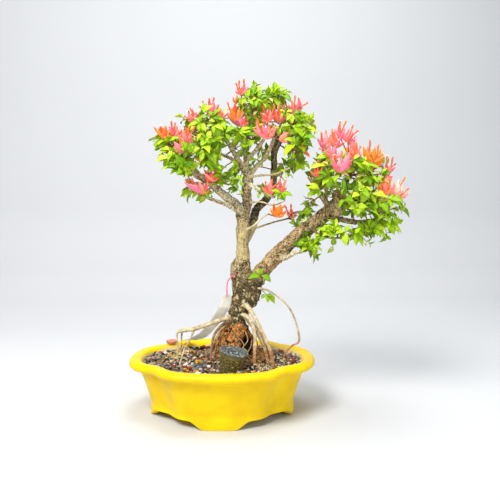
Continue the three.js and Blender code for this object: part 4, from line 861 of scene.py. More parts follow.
def tube_shader():
    s = Shader("flower_tube", Roughness=0.5, Subsurface_Weight=0.1, Subsurface_Scale=0.001)
    patch = s.spread(s.noise(3, 2), 0.35, 0.65, 0, 0.5)
    s.set(Base_Color=s.mix(patch, s.attribute("tint"), (255, 150, 90)))
    return s.material


def twig_shader():
    s = Shader("green_twig", Roughness=0.7)
    color = s.mix(s.spread(s.noise(4, 4), 0.4, 0.62), s.attribute("tint"), (140, 100, 60))
    s.set(Base_Color=color, Normal=s.bump(s.noise(1, 3), 0.2, 0.5))
    return s.material


def glaze_shader():
    s = Shader("pot_glaze", Roughness=0.4, Specular_IOR_Level=0.2)
    color = s.mix(s.spread(s.noise(28, 3), 0.35, 0.65), (236, 196, 0), (246, 211, 0))
    color = s.mix(s.spread(s.noise(0.9, 2), 0.66, 0.72, 0, 0.3), color, (190, 150, 10))
    dust = s.times(s.attribute("deposit", "Fac"), s.spread(s.noise(5, 5, None, 0.65), 0.36, 0.5))
    color = s.mix(dust, color, (214, 200, 164))
    s.set(Base_Color=color, Roughness=s.spread(s.noise(12, 4), 0.3, 0.7, 0.32, 0.44))
    s.set(Normal=s.bump(s.noise(7, 3), 0.25, 0.25))
    return s.material


def grain_shader(name, roughness=0.85, bump=0.5, painted_glow=0.0):
    s = Shader(name, Roughness=roughness, Specular_IOR_Level=0.3, Emission_Strength=painted_glow)
    color = s.toned(s.attribute("tint"), s.spread(s.noise(1.4, 4, None, 0.6), 0.3, 0.7, 0.6, 1.3))
    s.set(Base_Color=color, Normal=s.bump(s.noise(0.8, 4, None, 0.65), bump, 0.8))
    # painted light: a glow in the granule's own colour
    if painted_glow:
        s.set(Emission_Color=color)
    return s.material


def plastic_shader(name, color, roughness, speckle=0.0, fleck=(150, 138, 96), size=1.2):
    s = Shader(name, Roughness=roughness)
    tone = s.mix(s.spread(s.noise(5, 4), 0.3, 0.7), color, linear(color) * 1.5)
    if speckle:
        tone = s.mix(s.spread(s.noise(size, 4, None, 0.6, 1.0), 0.54, 0.64, 0, speckle), tone, fleck)
    s.set(Base_Color=tone, Normal=s.bump(s.noise(0.9, 3), 0.12, 0.5))
    return s.material


def label_shader():
    # painted light: the label glows in its own colour, standing for light let through the plastic
    s = Shader("label", Roughness=0.35, Specular_IOR_Level=0.4, Emission_Strength=0.3)
    tone = s.mix(s.spread(s.noise(14, 3), 0.35, 0.65), (196, 194, 182), (226, 224, 212))
    s.set(Base_Color=tone, Emission_Color=tone, Roughness=s.spread(s.noise(5, 3), 0.3, 0.7, 0.28, 0.45))
    return s.material


# Lines and tubes
def smooth_line(points, step):
    """A Catmull-Rom line through points of any width, with about one step in mm between its spots."""
    p = np.asarray(points, float)
    p = np.vstack([2 * p[0] - p[1], p, 2 * p[-1] - p[-2]])
    spots = []
    for i in range(1, len(p) - 2):
        count = max(int(np.linalg.norm(p[i + 1, :3] - p[i, :3]) / step), 1)
        for t in np.arange(count) / count:
            a = 2 * p[i]
            b = (p[i + 1] - p[i - 1]) * t
            c = (2 * p[i - 1] - 5 * p[i] + 4 * p[i + 1] - p[i + 2]) * t * t
            d = (3 * p[i] - p[i - 1] - 3 * p[i + 1] + p[i + 2]) * t ** 3
            spots.append((a + b + c + d) / 2)
    spots.append(p[-2])
    return np.array(spots)


def directions(line):
    ahead = np.gradient(line[:, :3], axis=0)
    return ahead / np.linalg.norm(ahead, axis=1, keepdims=True)


def tube_parts(line, sides, round_end=True):
    """Points and faces of a closed tube through spots x, y, z, radius, with a frame carried along it."""
    spots, radii = line[:, :3], line[:, 3]
    along = directions(line)
    if round_end:
        tip = spots[-1] + along[-1] * radii[-1] * 0.5
        spots = np.vstack([spots, tip])
        along = np.vstack([along, along[-1]])
        radii = np.append(radii, radii[-1] * 0.5)
    turns = circle_turns(sides)
    across = np.array([1.0, 0, 0]) if abs(along[0][2]) > 0.9 else np.array([0, 0, 1.0])
    rings = []
    for spot, ahead, radius in zip(spots, along, radii):
        across = unit(across - ahead * np.dot(across, ahead))
        side = np.cross(ahead, across)
        rings.append(spot + radius * (np.outer(np.cos(turns), across) + np.outer(np.sin(turns), side)))
    return np.vstack(rings), loft_faces(len(rings), sides)


def circle_turns(around):
    return np.arange(around) / around * 2 * math.pi


def hole_cutter(start, end, radius, sides):
    """A closed round bar to cut a hole with."""
    line = np.array([(*start, radius), (*end, radius)], float)
    return new_object("cutter", new_mesh("cutter", *tube_parts(line, sides, round_end=False)))


def loft_faces(rows, sides, closed_ends=True):
    faces = []
    for row in range(rows - 1):
        for i in range(sides):
            j = (i + 1) % sides
            faces.append((row * sides + i, row * sides + j, (row + 1) * sides + j, (row + 1) * sides + i))
    if closed_ends:
        faces.append(tuple(range(sides))[::-1])
        faces.append(tuple((rows - 1) * sides + i for i in range(sides)))
    return faces


# Pot
def lobed_ring(half_length, half_depth, height, around=POT_AROUND):
    turn = circle_turns(around)
    c, s = np.cos(turn), np.sin(turn)
    from_axis = np.arctan2(abs(s), abs(c))
    pull = 1 - LOBE_INDENT * np.exp(-(((from_axis - LOBE_ANGLE) / LOBE_WIDTH) ** 2))
    x = np.sign(c) * abs(c) ** (2 / POT_SQUARENESS) * half_length * pull
    y = np.sign(s) * abs(s) ** (2 / POT_SQUARENESS) * half_depth * pull
    z = height(x, y) if callable(height) else np.full(around, float(height))
    c, s = math.cos(POT_TURN), math.sin(POT_TURN)
    return np.stack([x * c - y * s, x * s + y * c, z], axis=1)


def skirt_height(x, y):
    return FOOT_RISE * np.minimum(smoothstep(abs(x), *FRONT_FOOT), smoothstep(abs(y), *END_FOOT))


def apply_all(piece):
    bpy.context.view_layer.objects.active = piece
    for change in list(piece.modifiers):
        bpy.ops.object.modifier_apply(modifier=change.name)


def cut_away(piece, cutters):
    """Cuts closed meshes out of a piece, and removes them."""
    for cutter in cutters:
        change = piece.modifiers.new("cut", "BOOLEAN")
        change.operation, change.solver, change.object = "DIFFERENCE", "EXACT", cutter
        apply_all(piece)
        bpy.data.objects.remove(cutter)


def make_pot(glaze):
    def edge(lift):
        return lambda x, y: skirt_height(x, y) + lift
    skirt = [(SKIRT_INNER, 0, UNDERSIDE_Z), (SKIRT_INNER, 0, edge(0.8)), (SKIRT_INNER, -0.9, edge(0)),
      (SKIRT_OUTER, 1.2, edge(0)), (SKIRT_OUTER, 0.2, edge(0.5)), (SKIRT_OUTER, 0, edge(1.6))]
    wall = smooth_line([(*SKIRT_OUTER, SKIRT_TOP_Z), *POT_WALL], 2.0)[1:]
    lip = smooth_line([POT_WALL[-1], *POT_LIP, POT_INNER[0]], 0.8)[1:]
    inner = smooth_line(POT_INNER, 3.0)[1:]
    rings = [lobed_ring(long - inset, deep - inset, height) for (long, deep), inset, height in skirt]
    build = Build()
    build.add_rings(rings + [lobed_ring(*level) for level in (*wall, *lip, *inner)])
    pot = build.finish("pot_body", ["pot"], [glaze], sharp=50)
    cut_away(pot, [hole_cutter((x, 0, UNDERSIDE_Z - 6), (x, 0, FLOOR_Z + 6), DRAIN_RADIUS, 32)
      for x in (-DRAIN_X, DRAIN_X)])
    x, y, z = points_of(pot.data).T
    inside = (np.hypot(x / DEPOSIT_EDGE[0], y / DEPOSIT_EDGE[1]) < 1.0) & (z > SOIL_Z - 6)
    set_values(pot.data, "deposit", inside * smoothstep(z, *DEPOSIT_Z))


def vectors_of(items, key):
    """The three numbers that a mesh has under a key for each of its items."""
    flat = np.zeros(len(items) * 3, np.float32)
    items.foreach_get(key, flat)
    return flat.reshape(-1, 3)


def points_of(mesh):
    """A mesh's points in mm round the pot's centre."""
    return (vectors_of(mesh.vertices, "co").astype(float) - POT_CENTRE) / MM


# Wood: colours in sRGB, and how rough the bark of each limb is
BARK = (190, 166, 116)
WARM_BARK = (186, 150, 100)
# dark mossy bark of the back branch, with painted shade in it as well
DARK_BARK_AND_SHADE = (56, 46, 30)
# pale bark of the stubs, and the painted highlight on the upper sides of branches
PALE_BARK_AND_HIGHLIGHT = (246, 236, 204)
# black moss on the right trunk, and the painted shade under it
BLACK_MOSS_AND_SHADE = (44, 38, 24)
OLIVE_BARK = (188, 170, 114)
RUST = (190, 118, 56)
ROOT_BLOTCH = (164, 118, 70)
PALE_WOOD = (226, 206, 162)
ROOT = (226, 208, 168)
CUT_WOOD = (236, 218, 178)
LIMB_LOOKS = {  # colour and roughness; the rest are ROOT and 0.4, or BARK and 1
    "right_trunk": (WARM_BARK, 1.0), "burl": ((206, 166, 112), 0.8), "back_branch": (DARK_BARK_AND_SHADE, 1.0),
    "back_fork": ((150, 128, 90), 0.8), "pale_stub": (PALE_BARK_AND_HIGHLIGHT, 0.5), "front_stub": (PALE_BARK_AND_HIGHLIGHT, 0.35),
    "front_twig": (PALE_WOOD, 0.45), "right_twig": (PALE_WOOD, 0.35), "thin_branch": ((150, 128, 78), 0.8),
    "left_branch": ((238, 222, 178), 0.75), "left_low_branch": ((222, 204, 158), 0.8),
    "left_upper_branch": ((222, 198, 148), 0.8), "crown_front_branch": ((230, 210, 164), 0.7),
    "crown_right_branch": ((226, 206, 158), 0.7), "crown_branch": ((196, 168, 118), 0.7),
    "right_bottom_twig": ((158, 112, 66), 0.6), "under_branch": ((218, 202, 160), 0.7),
    "mound_left_root": ((112, 78, 46), 0.6)}
CUT_ENDS = ("pale_stub", "front_stub", "under_branch", "right_cut_branch", "left_low_branch", "right_twig")
ROOT_LIMBS = [name for name in LIMBS if "root" in name]
TRUNK_FOOT_Z = 205
GRAIN_DRAWN = 0.72  # how much the grain of the bark is drawn out along a limb


def limb_line(name):
    return smooth_line(LIMBS[name][1:], LIMB_STEP)


def skeleton(names):
    """Spots along the named limbs with their widths, directions, colours and roughness."""
    rows = []
    for name in names:
        line = limb_line(name)
        color, rough = LIMB_LOOKS.get(name, (ROOT, 0.4) if "root" in name else (BARK, 1.0))
        for spot, ahead in zip(line, directions(line)):
            rows.append((*spot, *ahead, *linear(color), rough))
    return np.array(rows)


def nearest_rows(points, rows):
    """For each point, the row of the skeleton whose surface is nearest."""
    tree = KDTree(len(rows))
    for i, row in enumerate(rows):
        tree.insert(Vector(row[:3]), i)
    tree.balance()
    best = []
    for p in points:
        found = tree.find_n(Vector(p), 12)
        best.append(min(found, key=lambda hit: hit[2] - 0.8 * rows[hit[1]][3])[1])
    return np.array(best)


def remeshed(build, voxel):
    """One closed skin round all the bodies of a build, in metres in the row frame."""
    raw = new_object("raw", new_mesh("raw", np.vstack(build.points), build.faces))
    change = raw.modifiers.new("skin", "REMESH")
    change.mode, change.voxel_size, change.adaptivity = "VOXEL", voxel * MM, 0
    skin = bpy.data.meshes.new_from_object(raw.evaluated_get(bpy.context.evaluated_depsgraph_get()))
    bpy.data.objects.remove(raw)
    return skin


def move_points(mesh, offsets):
    """Moves each point of a mesh along its normal by an offset in mm."""
    normals = vectors_of(mesh.vertex_normals, "vector")
    moved = vectors_of(mesh.vertices, "co") + normals * np.asarray(offsets)[:, None] * MM
    mesh.vertices.foreach_set("co", moved.astype(np.float32).ravel())
    mesh.update()


def stained(tints, color, share):
    """Tints with a share of an sRGB colour over them."""
    share = share[:, None]
    return tints * (1 - share) + linear(color) * share


def dress_bark(points, near, tints, rough):
    """Painted highlight on the tops of the branches, an olive middle of the trunk, black moss on top of the
    right trunk with painted shade under it, and light cut ends.
    """
    x, z, width = points[:, 0], points[:, 2], near[:, 3]
    above = (z - near[:, 2]) / np.maximum(width, 1)
    thick = smoothstep(width, 6, 9)
    is_light = (rough > 0.5) & (near[:, 7] > linear(BARK)[0] * 0.5)
    # painted highlight: the upper sides of the light branches high on the tree are mixed towards pale cream
    top = smoothstep(above, -0.1, 0.55) * smoothstep(z, 262, 280) * smoothstep(x, 96, 70)
    tints = stained(tints, PALE_BARK_AND_HIGHLIGHT, 0.85 * top * is_light)
    middle = smoothstep(z, 204, 214) * smoothstep(z, 262, 250) * smoothstep(x, 60, 50)
    tints = stained(tints, OLIVE_BARK, 0.7 * middle)
    span = smoothstep(x, 96, 112) * smoothstep(x, 176, 160) * (z < 296)
    patch = smoothstep(clouds(points, 10, 23), -0.25, 0.2)
    tints = stained(tints, BLACK_MOSS_AND_SHADE, 0.6 * span * patch * smoothstep(above, -0.2, 0.4) * thick)
    # painted shade: the underside of the thick right trunk is darkened towards black
    below = smoothstep(above, 0.05, -0.45) * smoothstep(x, 80, 92) * smoothstep(x, 150, 130)
    tints = stained(tints, BLACK_MOSS_AND_SHADE, 0.85 * below * thick)
    for limb in CUT_ENDS:
        *end, radius = LIMBS[limb][-1]
        tints[np.linalg.norm(points - end, axis=1) < radius + 1.2] = linear(CUT_WOOD)
    return tints, rough * (1 - 0.6 * middle)


def dress_roots(points, tints):
    """Brown blotches, and rust low on the roots in the middle and on the right."""
    tints = stained(tints, ROOT_BLOTCH, 0.5 * smoothstep(clouds(points, 7, 33), 0.05, 0.45))
    low = smoothstep(points[:, 2] + 22 * clouds(points, 11, 31), 110, 78)
    return stained(tints, RUST, 0.9 * (low * smoothstep(points[:, 0], -42, -16)))


def make_wood(name, limbs, voxel, material, relief):
    build = Build()
    for limb in limbs:
        line = limb_line(limb)
        line[:, 3] *= 0.95
        build.add_tube(line, 20 if line[0][3] > 6 else 12, round_end=limb not in CUT_ENDS)
    mesh = remeshed(build, voxel)
    rows = skeleton(limbs)
    points = points_of(mesh)
    near = rows[nearest_rows(points, rows)]
    width, ahead, tints, rough = near[:, 3], near[:, 4:7], near[:, 7:10], near[:, 10]
    along = np.einsum("ij,ij->i", points, ahead)
    grain = points - ahead * (along * GRAIN_DRAWN)[:, None]
    lumps = clouds(points, 15, 1) * 0.1 * width
    knots = np.maximum(clouds(points, 8, 2) - 0.12, 0) * 0.16 * width
    furrow = clouds(grain, 3.6, 3)
    fine = clouds(points, 2.2, 4)
    scale = np.minimum(width / 7, 1) * rough * relief
    offset = lumps * relief + knots * rough + 1.1 * scale * furrow + 0.5 * scale * fine
    # painted shade in the deep furrows of the bark, where the surface is pushed in
    recess_shade = smoothstep(-(furrow + 0.5 * fine), 0.34, 0.75) * np.minimum(scale * 1.5, 1)
    foot = np.zeros(len(points))
    if name == "bark":
        foot = smoothstep(points[:, 2], TRUNK_FOOT_Z, TRUNK_FOOT_Z - 34) * smoothstep(points[:, 0], 72, 56)
        offset = offset + foot * (1.5 * clouds(points, 7, 21) + 1.1 * np.maximum(clouds(points, 4, 22), 0))
        tints, rough = dress_bark(points, near, tints, rough)
    else:
        tints = dress_roots(points, tints)
    move_points(mesh, offset)
    make_piece(name, mesh, ["tree_wood"], [material])
    set_tint(mesh, tints)
    for key, values in {"foot": foot, "grain": grain * MM, "rough": rough, "recess_shade": recess_shade}.items():
        set_values(mesh, key, values)


def make_mound(material):
    turns = circle_turns(MOUND_AROUND)
    build = Build()
    build.add_rings([
        np.stack([x + np.cos(turns) * wide, np.sin(turns) * deep, np.full(MOUND_AROUND, z)], axis=1)
        for x, z, wide, deep in smooth_line(MOUND, 2.0)])
    mesh = remeshed(build, MOUND_VOXEL)
    points = points_of(mesh)
    x, y, z = points.T
    angle = np.arctan2(y, x - 20)
    column = np.stack([np.cos(angle) * 22, np.sin(angle) * 22, z * 0.45], axis=1)
    flutes = clouds(column, 9, 6, 3)
    chunks = clouds(points, 10, 7, 4)
    lumps = clouds(points, 4.5, 11, 3)
    fine = clouds(points, 2.2, 8)
    hollow = np.exp(-(((x - HOLLOW[0]) / HOLLOW[2]) ** 2) - ((z - HOLLOW[1]) / HOLLOW[3]) ** 2) * (y < 0)
    move_points(mesh, 1.6 * flutes + 2.8 * chunks + 1.1 * lumps + 0.7 * fine - 1.2 - 9 * hollow)
    make_piece("root_mound", mesh, ["tree_wood"], [material])
    # painted shade in the recesses of the mound and in its hollow
    dark = smoothstep(-(0.5 * flutes + 0.8 * chunks + 0.7 * lumps + 0.3 * fine), 0.26, 0.62)
    set_values(mesh, "recess_shade", np.maximum(dark, smoothstep(hollow, 0.25, 0.6)))


def mound_width(z, turn):
    """The x of the middle of the mound at a height, and how far it reaches in the direction of a turn."""
    levels = np.asarray(MOUND, float)
    x, wide, deep = (np.interp(z, levels[:, 1], levels[:, k]) for k in (0, 2, 3))
    return x, 1 / math.hypot(math.cos(turn) / wide, math.sin(turn) / deep)


def runner_spots(number, pick):
    """Spots of a thin root that runs down the mound and then over the soil."""
    high = 70 + 40 * pick[1] ** 1.5
    spots = []
    for k in range(7):
        share = k / 6
        z = mixed(high, SOIL_Z + 1.5 + 2 * pick[2], min(share * 1.6, 1))
        spread = max(share - 0.62, 0) * (26 + 44 * pick[3])
        angle = number * GOLDEN_TURN + (pick[0] - 0.5) * 1.2 * share + 0.22 * math.sin(k * 2.1 + 6 * pick[4])
        x, reach = mound_width(z, angle)
        out = reach + 0.4 + spread + 1.5 * draw(301, number, k, 2)
        lift = 2.5 * math.sin(k * 1.7 + 9 * pick[5]) if share > 0.62 else 0
        spots.append((x + math.cos(angle) * out, math.sin(angle) * out, z + max(lift, -1), 0))
    return spots


def tangle_spots(start, pick):
    """Spots of a fibre that wanders over the soil from a place."""
    heading = 6.3 * pick[0]
    spots = []
    for step in range(5):
        heading += 1.3 * (pick[1 + step] - 0.5)
        start = start + 3.4 * np.array([math.cos(heading), math.sin(heading)])
        lift = 1.2 + 3.0 * math.sin(step * 1.4 + 5 * pick[6]) ** 2
        spots.append((*start, soil_height(*start) + lift, 0.3 + 0.45 * pick[7]))
    return spots


def make_rootlets(material):
    build = Build()
    for i in range(RUNNERS):
        pick = draws(8, 300, i, 6)
        line = smooth_line(runner_spots(i, pick), 2.5)
        line[:, 3] = np.linspace(0.6 + 0.6 * pick[6], 0.3, len(line))
        keep = np.hypot(line[:, 0] / SOIL_EDGE[0], line[:, 1] / SOIL_EDGE[1]) < 0.93
        if keep.sum() > 4:
            tint = mixed(linear(RUNNER_TINTS[0]), linear(RUNNER_TINTS[1]), pick[7])
            build.add_tube(line[keep], 6, tint=tint)
    for i, (x, y, reach, count) in enumerate(TANGLES):
        for k in range(count):
            pick = draws(8, 310 + i, k, 6)
            turn, out = k * GOLDEN_TURN, reach * math.sqrt((k + 0.5) / count)
            start = np.array([x + out * math.cos(turn), y + out * 0.6 * math.sin(turn)])
            line = smooth_line(tangle_spots(start, pick), 2.0)
            build.add_tube(line, 5, tint=linear(picked(TANGLE_TINTS, pick[6])))
    mesh = build.finish("rootlets", ["tree_wood"], [material]).data
    points = points_of(mesh)
    set_values(mesh, "grain", points * MM)
    set_values(mesh, "rough", np.full(len(points), 0.2))
    set_values(mesh, "recess_shade", np.zeros(len(points)))


# Soil: a dark bed with loose granules on it
def soil_height(x, y):
    share = np.hypot(x / SOIL_EDGE[0], y / SOIL_EDGE[1])
    return SOIL_Z + SOIL_CROWN * (1 - np.clip(share, 0, 1)) - 1.0


GRAIN_FORM = (np.array([
    (0, 0, 1), (0.894, 0, 0.447), (0.276, 0.851, 0.447), (-0.724, 0.526, 0.447), (-0.724, -0.526, 0.447),
    (0.276, -0.851, 0.447), (0.724, 0.526, -0.447), (-0.276, 0.851, -0.447), (-0.894, 0, -0.447),
    (-0.276, -0.851, -0.447), (0.724, -0.526, -0.447), (0, 0, -1)]),
    [(0, 1, 2), (0, 2, 3), (0, 3, 4), (0, 4, 5), (0, 5, 1), (1, 6, 2), (2, 6, 7), (2, 7, 3), (3, 7, 8),
     (3, 8, 4), (4, 8, 9), (4, 9, 5), (5, 9, 10), (5, 10, 1), (1, 10, 6), (11, 7, 6), (11, 8, 7), (11, 9, 8),
     (11, 10, 9), (11, 6, 10)])


def make_bed(material):
    rings = [lobed_ring(SOIL_EDGE[0] * 0.9, SOIL_EDGE[1] * 0.93, FLOOR_Z + 1, BED_AROUND)]
    scales = [1 - (k / BED_ROWS) ** 1.2 * 0.98 for k in range(BED_ROWS + 1)]
    rings += [lobed_ring(SOIL_EDGE[0] * k, SOIL_EDGE[1] * k, soil_height, BED_AROUND) for k in scales]
    points = np.vstack(rings)
    top = points[:, 2] > SOIL_Z - 5
    points[top, 2] += 0.8 * clouds(points[top], 6, 9)
    build = Build()
    build.add(points, loft_faces(len(rings), BED_AROUND), tint=linear(BED_COLOR))
    build.finish("soil_bed", ["soil"], [material])


def basket_gap(x, y):
    return math.hypot(x - BASKET_FOOT[0], y - BASKET_FOOT[1])


def is_free_soil(x, y):
    """Whether a granule may lie here: not past the edge, in the mound or basket, or under a low stone."""
    long, deep = (share * GRAIN_REACH for share in SOIL_EDGE)
    if (abs(x) / long) ** POT_SQUARENESS + (abs(y) / deep) ** POT_SQUARENESS > 1:
        return False
    middle_x, reach = mound_width(SOIL_Z + 4, math.atan2(y, x - MOUND[0][0]))
    if math.hypot(x - middle_x, y) < reach - 2 or basket_gap(x, y) < BASKET_RADIUS[0] + 0.6:
        return False
    low_stones = [STONES[name][:2] for name in ("stone_pale", "bark_strip")]
    return all(math.hypot((x - place[0]) / (half[0] + 2), (y - place[1] + 3) / (half[1] + 5)) >= 1
      for place, half in low_stones)


def add_litter(build, number, place, k):
    """A dry flake or leaf on the granules."""
    x, y, reach, count, longer = place
    pick = draws(8, 420 + number, k, 5)
    turn, out = k * GOLDEN_TURN, reach * math.sqrt((k + 0.5) / count)
    x, y = x + out * math.cos(turn), y + 0.7 * out * math.sin(turn)
    if math.hypot(x / SOIL_EDGE[0], y / SOIL_EDGE[1]) > 0.86 or basket_gap(x, y) < BASKET_RADIUS[1] + 3:
        return
    spot = np.array([x, y, soil_height(x, y) + 2.6 + 1.2 * pick[0]])
    ahead = np.array([math.cos(6.3 * pick[1]), math.sin(6.3 * pick[1]), 0.5 * (pick[2] - 0.4)])
    long = 4 + longer * pick[3] ** 2
    points, faces, _ = blade_parts(spot, spot + ahead * long, long * (0.3 + 0.4 * pick[4]), (0.3, -0.3, 1),
      SMALL_LEAF_ROWS, fold=0.4, arch=0.15, wave=0.1, thick=0.35, seed=pick[5])
    build.add(points, faces, tint=linear(picked(LITTER_COLORS, pick[6])) * (0.8 + 0.3 * pick[7]))


def make_granules(material):
    wood = skeleton(LIMBS)
    wood = wood[wood[:, 2] < 78]
    build = Build()
    columns, lines = int(2 * SOIL_EDGE[0] / GRAIN_PITCH), int(2 * SOIL_EDGE[1] / (GRAIN_PITCH * ROW_SHARE))
    places = [(layer, row, column) for layer in range(2) for row in range(lines) for column in range(columns)]
    for index, (layer, row, column) in enumerate(places, start=1):
        pick = draws(6, 400 + layer, index, 3)
        x = (column + 0.5 * (row % 2) + pick[0]) * GRAIN_PITCH - SOIL_EDGE[0]
        y = (row + pick[1]) * GRAIN_PITCH * ROW_SHARE - SOIL_EDGE[1]
        if (layer and pick[2] > UPPER_GRAINS) or not is_free_soil(x, y):
            continue
        size = GRAIN_SIZE[0] + (GRAIN_SIZE[1] - GRAIN_SIZE[0]) * pick[3] ** 1.6
        spot = np.array([x, y, soil_height(x, y) + size * 0.35 + layer * 1.9])
        if (np.linalg.norm(wood[:, :3] - spot, axis=1) >= wood[:, 3] + size * 0.4).all():
            build.add(*grain_parts(spot, size, 402 + layer, index), tint=grain_tint(pick))
    for number, place in enumerate(LITTER_PLACES):
        for k in range(place[3]):
            add_litter(build, number, place, k)
    build.finish("soil_granules", ["soil"], [material], smooth=False)


def grain_parts(spot, size, row, index):
    """A dented, stretched and turned granule."""
    pick = np.array(draws(16, row, index, 8))
    form = GRAIN_FORM[0] * (0.82 + 0.34 * pick[:12, None])
    form = form * (size * np.array([1.15, 0.8 + 0.3 * pick[12], 0.72 + 0.2 * pick[13]]))
    return turned(turned(form, 2, pick[14] * 6.3), 0, (pick[15] - 0.5) * 1.2) + spot, GRAIN_FORM[1]


def grain_tint(pick):
    shares = np.cumsum([share for share, _ in GRAIN_COLORS])
    kind = int(np.searchsorted(shares, pick[4] * shares[-1]))
    return linear(GRAIN_COLORS[min(kind, len(GRAIN_COLORS) - 1)][1]) * (0.75 + 0.5 * pick[5])


def make_stones(material):
    for row, (name, (centre, half, color)) in enumerate(STONES.items()):
        form, faces = grain_parts(np.zeros(3), 1.0, 410, row)
        form = form / abs(form).max(axis=0)
        mesh = new_mesh(name, form * half * 0.97 + centre, faces)
        piece = make_piece(f"{name}_rough", mesh, [name], [material])
        shape = piece.modifiers.new("round", "SUBSURF")
        shape.levels = shape.render_levels = 4
        shape.subdivision_type = "SIMPLE" if row == 0 else "CATMULL_CLARK"
        apply_all(piece)
        points = points_of(piece.data)
        move_points(piece.data, 0.9 * clouds(points, 5, row) + 0.35 * clouds(points, 1.6, row + 3) - 0.4)
        band = 0.5 + 0.5 * clouds(points * (0.4, 1, 1), 4, row + 6)
        set_tint(piece.data, linear(color) * (0.65 + 0.6 * band[:, None]))


# Foliage: a blade is a thin closed leaf or bract from its base to its tip
LEAF_ROWS = [(0, 0.07), (0.07, 0.1), (0.16, 0.5), (0.28, 0.86), (0.42, 1.0), (0.57, 0.93), (0.72, 0.66),
  (0.87, 0.3), (1, 0.01)]
SMALL_LEAF_ROWS = [(0, 0.08), (0.1, 0.16), (0.25, 0.78), (0.44, 1.0), (0.65, 0.84), (0.85, 0.4), (1, 0.01)]
BRACT_ROWS = [(0, 0.14), (0.08, 0.32), (0.2, 0.66), (0.33, 0.93), (0.46, 1.0), (0.6, 0.87), (0.73, 0.62),
  (0.86, 0.32), (0.95, 0.12), (1, 0.01)]
ACROSS = np.array([-1, -0.55, 0, 0.55, 1, 0.55, 0, -0.55])
FACE_UP = np.array([0, 1, 1, 1, 0, -1, -1, -1])


def blade_parts(base, tip, width, up, rows, fold=0.2, arch=0.1, wave=0.0, thick=0.22, seed=0.0):
    """Points, faces and leaf coordinates. The fold, arch and wave are shares of the width or length."""
    base, tip = np.asarray(base, float), np.asarray(tip, float)
    chord = tip - base
    long = np.linalg.norm(chord)
    ahead = chord / long
    up = unit(up - ahead * np.dot(up, ahead))
    side = np.cross(ahead, up)
    t = np.array([row[0] for row in rows])[:, None]
    half = np.array([row[1] for row in rows])[:, None] * width / 2
    s = ACROSS[None, :]
    ruffle = wave * width * np.sin(t * 15 + seed * 6.3 + 1.5 * np.sign(s)) * np.abs(s) ** 2
    ruffle = ruffle * np.minimum(half / width * 2, 1)
    lift = arch * long * (4 * t * (1 - t)) + fold * half * np.abs(s) ** 1.3 * 2 + ruffle
    lift = lift + FACE_UP[None, :] * thick * np.minimum(1, 0.35 + half / width)
    reach = s * half * (1 - 0.12 * fold)
    points = (base + t[..., None] * chord + reach[..., None] * side + lift[..., None] * up).reshape(-1, 3)
    places = np.stack([np.broadcast_to(t, reach.shape), np.broadcast_to(s, reach.shape)], axis=-1)
    return points, loft_faces(len(rows), len(ACROSS)), places.reshape(-1, 2)


def frame_along(axis):
    """Turned frame with its third axis along a direction."""
    up = unit(axis)
    hint = (1, 0, 0) if abs(up[2]) > 0.9 else (0, 0, 1)
    right = unit(np.cross(hint, up))
    return np.array([right, np.cross(up, right), up])


class Solid:
    """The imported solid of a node, to find its blades and stems by their points."""

    def __init__(self, node):
        mesh = next(o for o in bpy.data.objects if o.name.split(".")[0] == node and o.type == "MESH").data
        points = [Vector(p) for p in points_of(mesh)]
        self.tree = KDTree(len(points))
        for i, point in enumerate(points):
            self.tree.insert(point, i)
        self.tree.balance()
        self.surface = BVHTree.FromPolygons(points, [tuple(face.vertices) for face in mesh.polygons])

    def has(self, point):
        return self.tree.find(Vector(point))[2] < FOUND_WITHIN

    def widest_gap(self, start, end, shares):
        """The widest gap from the solid to places between two points."""
        return max(self.surface.find_nearest(Vector(mixed(start, end, share)))[3] for share in shares)


def make_branch_spots():
    """Places along the branches, at which stems can start."""
    spots = []
    for is_branch, *points in LIMBS.values():
        if not is_branch:
            continue
        p = np.asarray(points, float)[:, :3]
        for a, b in zip(p, p[1:]):
            steps = math.ceil(np.linalg.norm(b - a) / 4)
            spots += [mixed(a, b, k / steps) for k in range(steps)]
        spots.append(p[-1])
    return np.array(spots)


BRANCH_SPOTS = make_branch_spots()


def nearest_spots(place):
    away = np.linalg.norm(BRANCH_SPOTS - np.asarray(place), axis=1)
    return BRANCH_SPOTS[np.argsort(away, kind="stable")]


def blade_tip(centre, frame, blade, bend, scale):
    """The tip of a blade, bent by an angle and scaled, as the solids have it."""
    lowest, highest = (limit * DEGREE for limit in blade["limits"])
    out, up = out_and_up(blade["turn"], min(max(blade["rise"] + bend * DEGREE, lowest), highest), frame)
    return centre + out * blade["long"] * scale - up * blade["droop"], up, scale


def find_blades(solid, centre, frame, blades):
    """The blades that the solid has, as (blade, tip, upper side's direction, scale)."""
    found = []
    for blade in blades:
        for bend, scale in BENDS:
            tip, up, scale = blade_tip(centre, frame, blade, bend, scale)
            if solid.has(tip):
                found.append((blade, tip, up, scale))
                break
    return found


def find_root(solid, ends):
    """Where the stem of a spray or row of blooms leaves its branch, and its fork."""
    middle = np.mean(ends, axis=0)
    best = None
    for root in nearest_spots(middle)[:80]:
        fork = mixed(root, middle, 0.5)
        if len(ends) > 1:
            gap = solid.widest_gap(root, fork, (0.75, 0.9, 1.0))
        else:
            gap = solid.widest_gap(root, ends[0], (0.5, 0.75, 0.9))
        if best is None or gap < best[0] - 0.3:
            best = (gap, root, fork)
    return best[1], best[2]


def stem_path(root, fork, end, index, count):
    """The spots of one stem of a forked row. The first stem brings the shared foot."""
    if count == 1:
        return [root, end]
    return [fork, end] if index else [root, fork, end]


